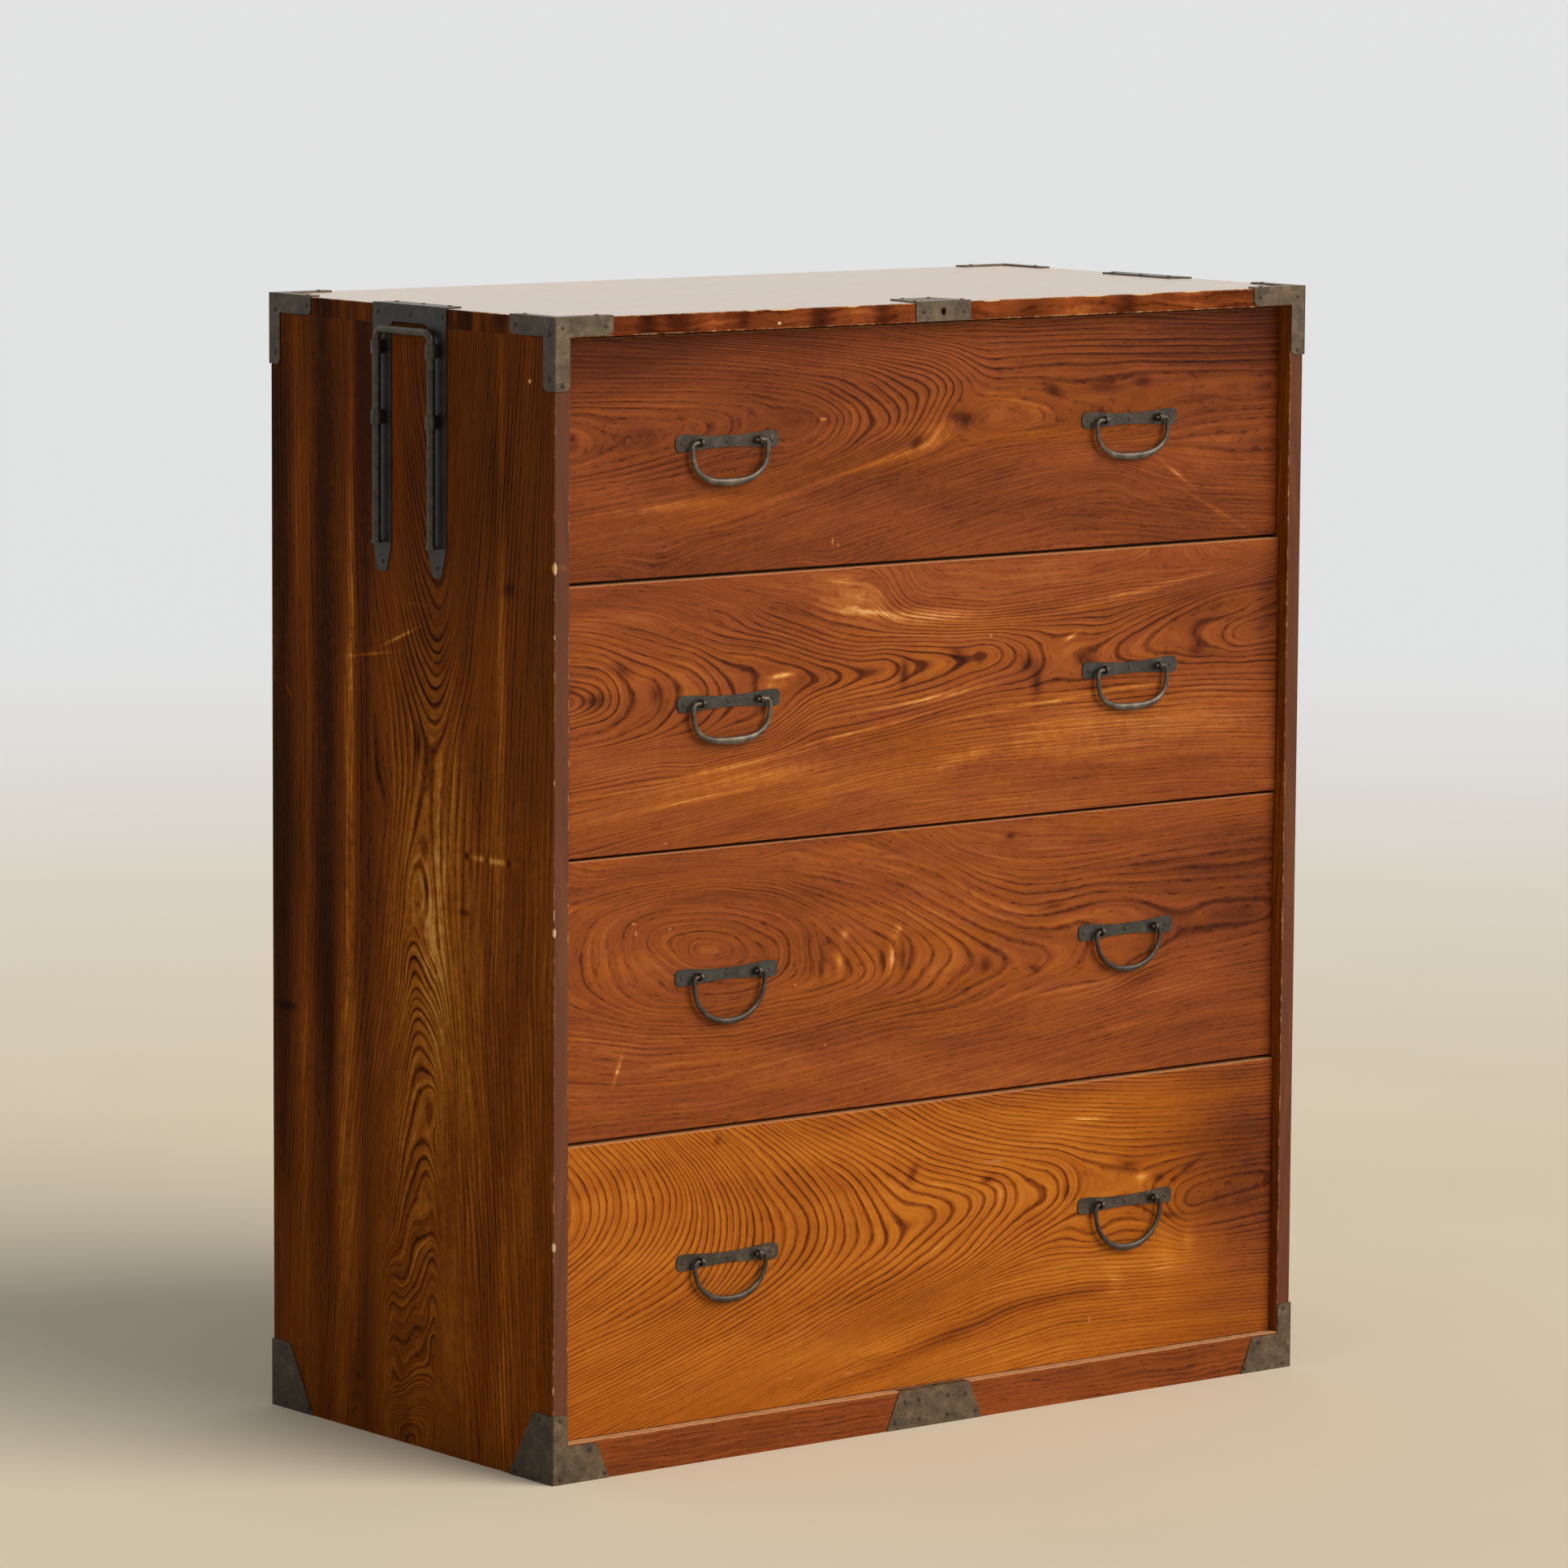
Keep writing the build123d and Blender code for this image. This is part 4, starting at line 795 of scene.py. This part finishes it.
SECOND_FRONT = dict(
    tones=RED_TONES, contrast=0.45, lines=SECOND_FRONT_LINES, level=0.56, gold=0.1,
    gold_spots=[(400, 150, 360, 40, 0, 0.3), (330, 60, 400, 30, 4, 0.3), (420, 235, 500, 22, 0, -0.4)],
    bold=0.3,
    bold_spots=[
        (400, 155, 340, 46, 0, 0.45), (120, 235, 200, 30, 0, -0.6), (600, 238, 300, 22, 0, -0.6),
        (436, 20, 500, 60, 0, -0.4),
    ],
    spots=[
        (38, 143, 14, 7, 0, -0.3), (8, 154, 10, 5, 0, -0.2), (70, 168, 10, 5, -40, -0.3),
        (107, 145, 8, 9, 0, -0.26), (401, 146, 5, 12, 0, -0.34), (468, 159, 12, 5, -30, -0.32),
        (553, 144, 7, 7, 0, -0.3), (565, 126, 6, 13, 0, -0.3), (767, 146, 9, 6, 0, -0.24),
        (255, 153, 16, 2.6, 4, 0.5), (245, 144, 16, 4, 0, 0.25), (340, 216, 38, 14, 0, 0.22),
        (322, 238, 20, 4, 0, 0.2), (360, 206, 30, 2.5, -8, 0.3), (420, 198, 70, 7, -3, 0.24),
        (608, 168, 8, 2, 20, 0.5), (700, 208, 90, 3, 8, 0.2), (200, 72, 110, 2.2, 6, 0.22),
        (330, 92, 90, 2.0, 8, 0.25), (420, 118, 60, 2.2, 6, 0.2), (600, 108, 120, 2.2, 4, 0.2),
        (160, 45, 120, 2.0, 5, 0.16), (470, 58, 30, 6, 12, 0.2), (640, 70, 200, 22, 0, 0.12),
        (230, 60, 150, 8, 5, 0.12), (100, 235, 120, 14, 0, -0.07), (860, 170, 14, 70, 0, -0.16),
    ],
    chips=[(507, 175, 2.2, 1.6), (9, 88, 1, 3), (120, 6, 2, 1)],
)
THIRD_FRONT = dict(
    tones=RED_TONES, contrast=0.36, lines=THIRD_FRONT_LINES, level=0.53, gold=0.15,
    gold_spots=[(420, 130, 200, 60, 0, 0.35), (800, 120, 120, 120, 0, -0.3)],
    bold=0.16,
    bold_spots=[
        (460, 135, 150, 50, 0, 0.4), (650, 170, 180, 30, 0, 0.25), (200, 170, 90, 40, 0, 0.2),
        (436, 10, 500, 40, 0, -0.3), (436, 255, 500, 25, 0, -0.3),
    ],
    spots=[
        (305, 138, 4, 13, 0, -0.3), (379, 138, 5, 12, 0, -0.28), (403, 138, 4, 13, 0, -0.28),
        (505, 122, 7, 7, 0, -0.34), (566, 113, 8, 4, -20, -0.26), (326, 142, 5, 10, 10, 0.33),
        (333, 166, 6, 5, 40, 0.24), (391, 140, 5, 17, -6, 0.33), (398, 166, 5, 5, 0, 0.21),
        (66, 62, 2, 14, -20, 0.3), (535, 244, 6, 4, 0, -0.3), (705, 90, 30, 7, 12, -0.2),
        (830, 130, 70, 140, 0, -0.08), (590, 171, 14, 3, 6, -0.24), (6, 200, 2.5, 32, 0, 0.18),
    ],
    chips=[
        (126, 189, 1.6, 1.3), (310, 63, 1.6, 1.2), (274, 123, 1.6, 1.2), (84, 197, 2.4, 1.6),
        (87, 188, 1.4, 2.6),
    ],
)
BOTTOM_FRONT = dict(
    tones=RED_TONES, gold=1.1,
    gold_spots=[(870, 170, 90, 170, 0, -1.1), (620, 270, 260, 14, 0, -0.5)],
    lines=BOTTOM_FRONT_LINES, level=0.64, contrast=0.4, bold=0.6,
    bold_spots=[
        (400, 170, 230, 60, 0, 0.3), (800, 150, 90, 140, 0, -0.5), (690, 235, 200, 34, 0, -0.2),
        (436, 10, 500, 50, 0, -0.4),
    ],
    spots=[
        (508, 190, 8, 3.5, 0, -0.4), (686, 186, 12, 3.5, -6, -0.3), (725, 169, 7, 4, 0, -0.34),
        (745, 165, 5, 3, 20, -0.3), (765, 176, 18, 2.5, 26, -0.24), (180, 262, 5, 4, 60, -0.26),
        (415, 206, 5, 9, -30, -0.34), (607, 168, 5, 8, 0, -0.26), (450, 40, 110, 7, 13, -0.2),
        (600, 64, 70, 6, 3, -0.2), (740, 130, 14, 3, -10, -0.24), (703, 173, 9, 6, 0, 0.2),
        (670, 74, 12, 18, 0, 0.1), (735, 90, 16, 24, 0, 0.12), (765, 104, 7, 16, 0, 0.12),
        (630, 237, 26, 4, 0, 0.14), (830, 150, 90, 140, 0, -0.24), (800, 262, 150, 18, 0, -0.12),
        (40, 60, 120, 50, 0, -0.05),
    ],
    chips=[(514, 207, 11, 1.4), (339, 22, 5, 1.2), (267, 26, 5, 1.0), (638, 38, 1.3, 4)],
)
LEFT_SIDE = dict(
    tones=DARK_TONES, lines=LEFT_SIDE_LINES, level=0.56, wear=0.7, seam=True, front_tint=(98, 64, 50),
    chips=[
        (845, 0.5, 6, 2.2), (782, 0, 3, 1.2), (1012, 38, 1.8, 1.8), (650, 0, 4, 0.9), (528, 0, 9, 1.0),
        (512, 1, 4, 1.4), (222, 1, 4, 1.6), (88, 0, 6, 1.0),
    ],
    bold=0.16,
    bold_spots=[(650, 200, 220, 34, 0, 0.6), (300, 215, 240, 40, 0, 0.4), (600, 380, 600, 60, 0, -0.2)],
    spots=[
        (665, 212, 16, 5, 0, -0.4), (568, 203, 12, 6, 0, -0.34), (530, 199, 12, 4, 0, -0.3),
        (515, 139, 3, 7, 0, -0.34), (820, 70, 6, 8, 0, -0.24), (392, 428, 4, 12, 0, -0.34),
        (568, 98, 3.0, 30, 0, 0.34), (568, 70, 3, 3, 0, -0.6), (568, 104, 3, 3, 0, -0.6),
        (568, 135, 3, 3, 0, -0.6), (800, 82, 260, 5, 0, 0.16), (200, 78, 200, 6, 0, 0.11),
        (1000, 82, 60, 5, 0, 0.12), (480, 92, 130, 6, 0, 0.08), (760, 320, 330, 5, 0, 0.26),
        (560, 327, 260, 5, 0, 0.22), (300, 338, 300, 8, 0, 0.12), (700, 391, 250, 4, 0, 0.11),
        (880, 410, 110, 7, 0, 0.12), (330, 400, 130, 6, 0, 0.1), (650, 195, 170, 20, 0, 0.1),
        (520, 190, 90, 18, 0, 0.07), (290, 215, 120, 30, 0, 0.04), (980, 200, 300, 300, 0, -0.16),
        (520, 190, 420, 70, 0, 0.17), (600, 298, 600, 14, 0, -0.2), (600, 364, 600, 22, 0, -0.28),
        (600, 438, 600, 22, 0, -0.3), (500, 40, 700, 18, 0, 0.03), (763, 240, 1.5, 32, 21, 0.3),
        (742, 290, 1.5, 30, 8, 0.26), (795, 215, 1.6, 16, 0, 0.13), (1012, 38, 2.5, 2.5, 0, 0.42),
        (695, 424, 8, 2, 40, 0.18), (845, 2, 3.5, 2.5, 0, 0.54),
    ],
)


def paint(node, material):
    """Puts a material in every slot of a CAD node."""
    slots = NODES[node].data.materials
    if not slots:
        slots.append(material)
    for index in range(len(slots)):
        slots[index] = material


FRONT_LOOKS = {
    "top_drawer": TOP_FRONT,
    "second_drawer": SECOND_FRONT,
    "third_drawer": THIRD_FRONT,
    "bottom_drawer": BOTTOM_FRONT,
}
LINING = dict(tones=PALE_TONES, spacing=9.0, wear=0.1, shine=0.6, gleam=0.3, contrast=0.3)
for drawer, look in FRONT_LOOKS.items():
    front = drawer + "_front"
    paint(front, wood(front, "xzy", top_wear=0.62, chip_tint=FRONT_CHIP, **look))
    paint(drawer + "_sides", wood(drawer + "_sides", "yzx", **LINING))
    paint(drawer + "_back", wood(drawer + "_back", "xzy", **LINING))
    paint(drawer + "_bottom", wood(drawer + "_bottom", "xyz", **LINING))
for shelf in ("upper_shelf", "middle_shelf", "lower_shelf", "bottom_board"):
    paint(shelf, wood(shelf, "xyz", **LINING))
paint("left_side_panel", wood("left_side_panel", "zyx", gleam=0.01, **LEFT_SIDE))
CASE_LOOKS = {
    "right_side_panel": dict(
        grain="zyx", tones=DARK_TONES, lines=LEFT_SIDE_LINES, level=0.6, cloud=0.35, wear=0.8, seam=True,
        front_tint=(92, 57, 43),
    ),
    "top_board": dict(
        grain="xyz", tones=RED_TONES, spacing=7.0, level=0.41, wear=0.9, shine=0.24, gleam=0.01,
        # the pale brown laid on the top face is a painted reflection
        top_coat=1.0, top_painted_sheen=(156, 122, 88), ends=True,
        spots=[
            (20, 0, 20, 3, 0, 0.2), (105, 0, 10, 3, 0, -0.24), (140, 0, 14, 3, 0, -0.2),
            (180, 0, 16, 3, 0, 0.14), (215, 0, 6, 3, 0, -0.14), (305, 0, 12, 3, 0, -0.26),
            (350, 0, 20, 3, 0, 0.12), (380, 0, 10, 3, 0, -0.2), (480, 0, 16, 3, 0, -0.16),
            (560, 0, 20, 3, 0, -0.14), (620, 0, 24, 3, 0, 0.2), (680, 0, 14, 3, 0, -0.2),
            (760, 0, 24, 3, 0, 0.14),
        ],
        chips=[
            (225, 18, 6, 1.2), (262, 18, 18, 1.6), (345, 18, 8, 1.3), (445, 18, 7, 1.2),
            (512, 17.6, 12, 1.3), (640, 18, 16, 1.2), (700, 17.6, 14, 1.5), (762, 18, 12, 1.2),
            (257, 5, 2, 1.5),
        ],
    ),
    "bottom_rail": dict(grain="xzy", tones=RED_TONES, spacing=5.0, level=0.47, gold=0.2, top_wear=1.0),
    "back_panel": dict(grain="zxy", tones=DARK_TONES, spacing=8.0, level=0.5, cloud=0.3, shine=0.6),
}
for board, look in CASE_LOOKS.items():
    paint(board, wood(board, contrast=0.14, **look))


# ---------------------------------------------------------------- iron
# Noise in the iron: its steps per millimetre. The rust is moved so that it doesn't follow the patina.
PATINA_SCALE = 0.08
FINE_SCALE = 0.8
PIT_SCALE = 1.1
RUST_SCALE = 0.11
RUST_SHIFT = 7.0
RUST_TINT = (104, 60, 30)
# Painted shade: irons on the case's sides get a darker colour than those on its front, standing in for the
# weaker light there; both in millimetres from its middle.
SIDE_SHADE_REACH = (453.3, 453.9)


def iron(name, stops, rust=0.4, shine=0.46, metal=0.5):
    """Hand-worked iron: dark scale, lighter rubbed places, pits and rust, with painted shade on the case's
    sides.
    """
    graph = Graph(name)
    patina = graph.noise(graph.place, scale=PATINA_SCALE, detail=5, roughness=0.65)
    grit = graph.noise(graph.place, scale=FINE_SCALE, detail=3)
    pits = graph.rise(graph.noise(graph.place, scale=PIT_SCALE), 0.12, 0.24)
    # painted shade: this side mask darkens the colour of irons on the case's sides
    side = graph.rise(graph.math("ABSOLUTE", graph.xyz[0]), *SIDE_SHADE_REACH)
    tone = patina * 1.3 + grit * 0.7 - pits * 0.25 - side * 0.35 + 0.48
    moved = graph.vector(*(part * RUST_SCALE + RUST_SHIFT for part in graph.xyz))
    rusty = graph.rise(graph.noise(moved, detail=5, roughness=0.7), 0.05, 0.22) * rust
    colour = graph.mix(graph.ramp(tone, stops), linear(*RUST_TINT), rusty)
    gloss = graph.clamp(grit * 0.3 + pits * 0.15 + shine)
    height = patina * 0.25 + grit * 0.12 - pits * 0.1
    return graph.shader(colour, gloss, height, depth=0.7, metal=metal)


PLATE_TONES = [(0.0, (44, 35, 25)), (0.35, (74, 61, 45)), (0.65, (104, 87, 65)), (1.0, (148, 130, 104))]
HANDLE_TONES = [(0.0, (30, 24, 19)), (0.35, (50, 42, 34)), (0.65, (74, 64, 52)), (1.0, (134, 120, 100))]
POLE_TONES = [(0.0, (28, 26, 22)), (0.35, (46, 44, 38)), (0.65, (66, 63, 55)), (1.0, (104, 100, 90))]
BAR_TONES = [(0.0, (40, 35, 28)), (0.35, (70, 62, 51)), (0.65, (102, 92, 77)), (1.0, (156, 144, 122))]
handle_iron = iron("handle_iron", HANDLE_TONES, rust=0.25, shine=0.4)
pole_iron = iron("pole_iron", POLE_TONES, rust=0.2, shine=0.42)
bar_iron = iron("bar_iron", BAR_TONES, rust=0.2, shine=0.34)

BY_SLOT = {
    "wrought_iron": iron("plate_iron", PLATE_TONES),
    "handle_iron": handle_iron,
    "iron_nails": iron("nail_iron", HANDLE_TONES, rust=0.35, shine=0.42),
    "peg_wood": wood("joint_pegs", "yxz", DARK_TONES, spacing=3.0, level=0.5),
}
for entry in frame["record"]["subparts"]:
    if entry["material_slot"] in BY_SLOT:
        paint(entry["node"], BY_SLOT[entry["material_slot"]])
for node in (
    "left_pole_plate",
    "right_pole_plate",
    "second_drawer_handle_plates",
    "third_drawer_handle_plates",
):
    paint(node, pole_iron)
for node in ("left_pole_handle", "right_pole_handle", "pole_guides"):
    paint(node, bar_iron)


# ---------------------------------------------------------------- forged bails
BAIL_SHOULDER = 4.4
BAIL_TIP_X = 29.6
BAIL_TIP_RADIUS = 2.15
BAIL_SIDES = 14
BAIL_STEP = 1.6
SHOULDER_POINTS = 7
CURVE_POINTS = 26
# The hammering changes the radius by DENT_DEPTH at every DENT_STEP rings of the mesh.
DENT_STEP = 5
DENT_DEPTH = 0.07
# The last rings at each tip, as shares of the radius.
TIP_TAPER = (0.55, 0.9)
# How much thicker each drawer's bails are at the bottom, how square their curve is, and their iron.
BAIL_FORMS = {
    "bottom_drawer": (1.4, 2.2, handle_iron),
    "third_drawer": (1.1, 2.2, handle_iron),
    "second_drawer": (1.6, 3.0, bar_iron),
    "top_drawer": (1.6, 2.7, bar_iron),
}


def bail_line(tip, half, drop, square):
    """Centre line of a bail as (across, down) points from its left tip to its right tip."""
    left = [(-tip, 0.0)]
    for turn in np.linspace(0, math.pi / 2, SHOULDER_POINTS):
        inward = BAIL_SHOULDER * (1 - math.sin(turn))
        left.append((-half + inward, BAIL_SHOULDER * (1 - math.cos(turn))))
    for share in np.linspace(0, 1, CURVE_POINTS)[1:-1]:
        down = math.sin(share * math.pi / 2)
        across = (1 - down**square) ** (1 / square)
        left.append((-half * across, BAIL_SHOULDER + (drop - BAIL_SHOULDER) * down))
    line = np.array(left + [(0.0, drop)] + [(-across, down) for across, down in reversed(left)])
    along = along_line(line)
    return spread(line, np.linspace(0, along[-1], round(along[-1] / BAIL_STEP)), along)


def forged_bail(node, swell, square, metal, seed):
    """A round bar hammered to the bail's D, thicker at the bottom and a little uneven."""
    rough = np.random.default_rng(seed)
    low, high = (np.array(corner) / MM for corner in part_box(node))
    centre_x = (low[0] + high[0]) / 2
    rod = (high[1] - low[1]) / 2
    pivot_y = (low[1] + high[1]) / 2
    half = (high[0] - low[0]) / 2 - rod
    drop = high[2] - low[2] - 2 * rod
    line = bail_line(BAIL_TIP_X, half, drop, square)
    count = len(line)
    knots = np.arange(0, count + DENT_STEP, DENT_STEP)
    wave = np.interp(np.arange(count), knots, rough.normal(0, 1, len(knots)))
    verts = []
    for index, (across, down) in enumerate(line):
        before = line[max(index - 1, 0)]
        after = line[min(index + 1, count - 1)]
        heading = (after - before) / np.hypot(*(after - before))
        side = np.array([heading[1], -heading[0]])
        deep = (down / drop) ** 2
        radius = BAIL_TIP_RADIUS + deep * swell * (1 - 0.5 * abs(across) / half)
        radius += wave[index] * DENT_DEPTH
        inward = radius - rod if down > BAIL_SHOULDER else 0.0
        end = min(index, count - 1 - index)
        if end < len(TIP_TAPER):
            radius *= TIP_TAPER[end]
        for turn in np.arange(BAIL_SIDES) * (2 * math.pi / BAIL_SIDES):
            out = radius * math.cos(turn) - inward
            x = centre_x + across + side[0] * out
            y = pivot_y + min(radius, rod) * math.sin(turn)
            z = high[2] - rod - down - side[1] * out
            verts.append((x * MM, y * MM, z * MM))
    rings = np.arange(len(verts)).reshape(count, BAIL_SIDES)
    following = np.roll(rings, -1, axis=1)
    walls = np.stack([rings[:-1], following[:-1], following[1:], rings[1:]], axis=-1)
    faces = walls.reshape(-1, 4).tolist() + [rings[0][::-1].tolist(), rings[-1].tolist()]
    mesh = bpy.data.meshes.new(node + "_forged")
    mesh.from_pydata(verts, [], faces)
    mesh.polygons.foreach_set("use_smooth", [True] * len(faces))
    mesh.materials.append(metal)
    mesh.update()
    bar = bpy.data.objects.new(node + "_forged", mesh)
    bpy.context.collection.objects.link(bar)
    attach(bar, node)
    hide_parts(node)


for seed, (drawer, (swell, square, metal)) in enumerate(BAIL_FORMS.items()):
    for hand in ("left", "right"):
        forged_bail(f"{drawer}_{hand}_bail", swell, square, metal, seed * 2 + (hand == "right"))


# ---------------------------------------------------------------- floor, light and camera
# Solved from the photograph's straight edges; the focal length is in its own pixels.
CAMERA_PLACE = Vector((-4.42498, -5.59041, 1.49251))
AZIMUTH = math.radians(38.302)
DESCENT = math.radians(7.195)
ROLL = math.radians(0.3295)
FOCAL = 9143.3
IMAGE = 1932
SENSOR = 36.0
FAR_CLIP = 1000

SUN_FROM = Vector((0.45, -0.85, 0.62))
SUN_SPREAD = math.radians(50)
SUN_STRENGTH = 2.7
SUN_TINT = (255, 250, 242)
SKY_STRENGTH = 0.38
SKY_TINT = (240, 246, 255)
WALL_TINT = (248, 243, 236)

# The floor reaches FLOOR_REACH metres out, and pales between these distances in millimetres.
FLOOR_REACH = 400.0
FLOOR_FADE = (1200.0, 7000.0)
FLOOR_NEAR = [(0.3, (230, 216, 188)), (0.7, (234, 220, 192))]
FLOOR_FAR = (248, 249, 250)
FLOOR_HAZE = 0.0015


def add_camera():
    """The camera at the photograph's angle."""
    data = bpy.data.cameras.new("camera")
    data.sensor_width = SENSOR
    data.sensor_fit = "HORIZONTAL"
    data.lens = FOCAL / IMAGE * SENSOR
    data.clip_end = FAR_CLIP
    camera = bpy.data.objects.new("camera", data)
    bpy.context.collection.objects.link(camera)
    level = math.cos(DESCENT)
    ahead = Vector((level * math.sin(AZIMUTH), level * math.cos(AZIMUTH), -math.sin(DESCENT)))
    right = Vector((math.cos(AZIMUTH), -math.sin(AZIMUTH), 0))
    up = right.cross(ahead)
    right_turned = right * math.cos(ROLL) + up * math.sin(ROLL)
    up_turned = up * math.cos(ROLL) - right * math.sin(ROLL)
    turn = Matrix((right_turned, up_turned, -ahead)).transposed().to_4x4()
    camera.matrix_world = Matrix.Translation(CAMERA_PLACE) @ turn
    bpy.context.scene.camera = camera


def add_sun():
    """Daylight from the right of the front, soft as from a wide window."""
    data = bpy.data.lights.new("window", "SUN")
    data.angle = SUN_SPREAD
    data.energy = SUN_STRENGTH
    data.color = linear(*SUN_TINT)[:3]
    lamp = bpy.data.objects.new("window", data)
    bpy.context.collection.objects.link(lamp)
    lamp.rotation_euler = (-SUN_FROM).to_track_quat("-Z", "Y").to_euler()


def add_world():
    """Soft daylight; the camera and reflections see a pale wall all round."""
    world = bpy.data.worlds.new("daylight")
    bpy.context.scene.world = world
    world.use_nodes = True
    tree = world.node_tree
    tree.nodes.clear()

    def add(kind, *sources):
        node = tree.nodes.new(kind)
        for entry, source in zip(node.inputs, sources):
            tree.links.new(source, entry)
        return node

    def background(tint, strength):
        node = add("ShaderNodeBackground")
        node.inputs["Color"].default_value = linear(*tint)
        node.inputs["Strength"].default_value = strength
        return node.outputs[0]

    path = add("ShaderNodeLightPath").outputs
    seen = add("ShaderNodeMath", path["Is Camera Ray"], path["Is Glossy Ray"])
    also = add("ShaderNodeMath", seen.outputs[0], path["Is Transmission Ray"])
    seen.operation = also.operation = "MAXIMUM"
    sky = background(SKY_TINT, SKY_STRENGTH)
    wall = background(WALL_TINT, 1.0)
    mix = add("ShaderNodeMixShader", also.outputs[0], sky, wall)
    add("ShaderNodeOutputWorld", mix.outputs[0])


def add_floor():
    """A plain floor, warm near the chest and pale far away."""
    graph = Graph("floor_paint")
    x, y, z = graph.xyz
    haze = graph.noise(graph.vector(x * FLOOR_HAZE, y * FLOOR_HAZE, z), detail=3)
    away = graph.rise(graph.math("POWER", x * x + y * y, 0.5), *FLOOR_FADE)
    colour = graph.mix(graph.ramp(haze + 0.5, FLOOR_NEAR), linear(*FLOOR_FAR), away)
    mesh = bpy.data.meshes.new("floor")
    corners = ((-1, -1), (1, -1), (1, 1), (-1, 1))
    verts = [(east * FLOOR_REACH, north * FLOOR_REACH, 0) for east, north in corners]
    mesh.from_pydata(verts, [], [(0, 1, 2, 3)])
    mesh.materials.append(graph.shader(colour, 0.9, specular=0.2))
    floor = bpy.data.objects.new("floor", mesh)
    bpy.context.collection.objects.link(floor)


add_camera()
add_world()
add_floor()
add_sun()
bpy.context.scene.view_settings.view_transform = "Standard"
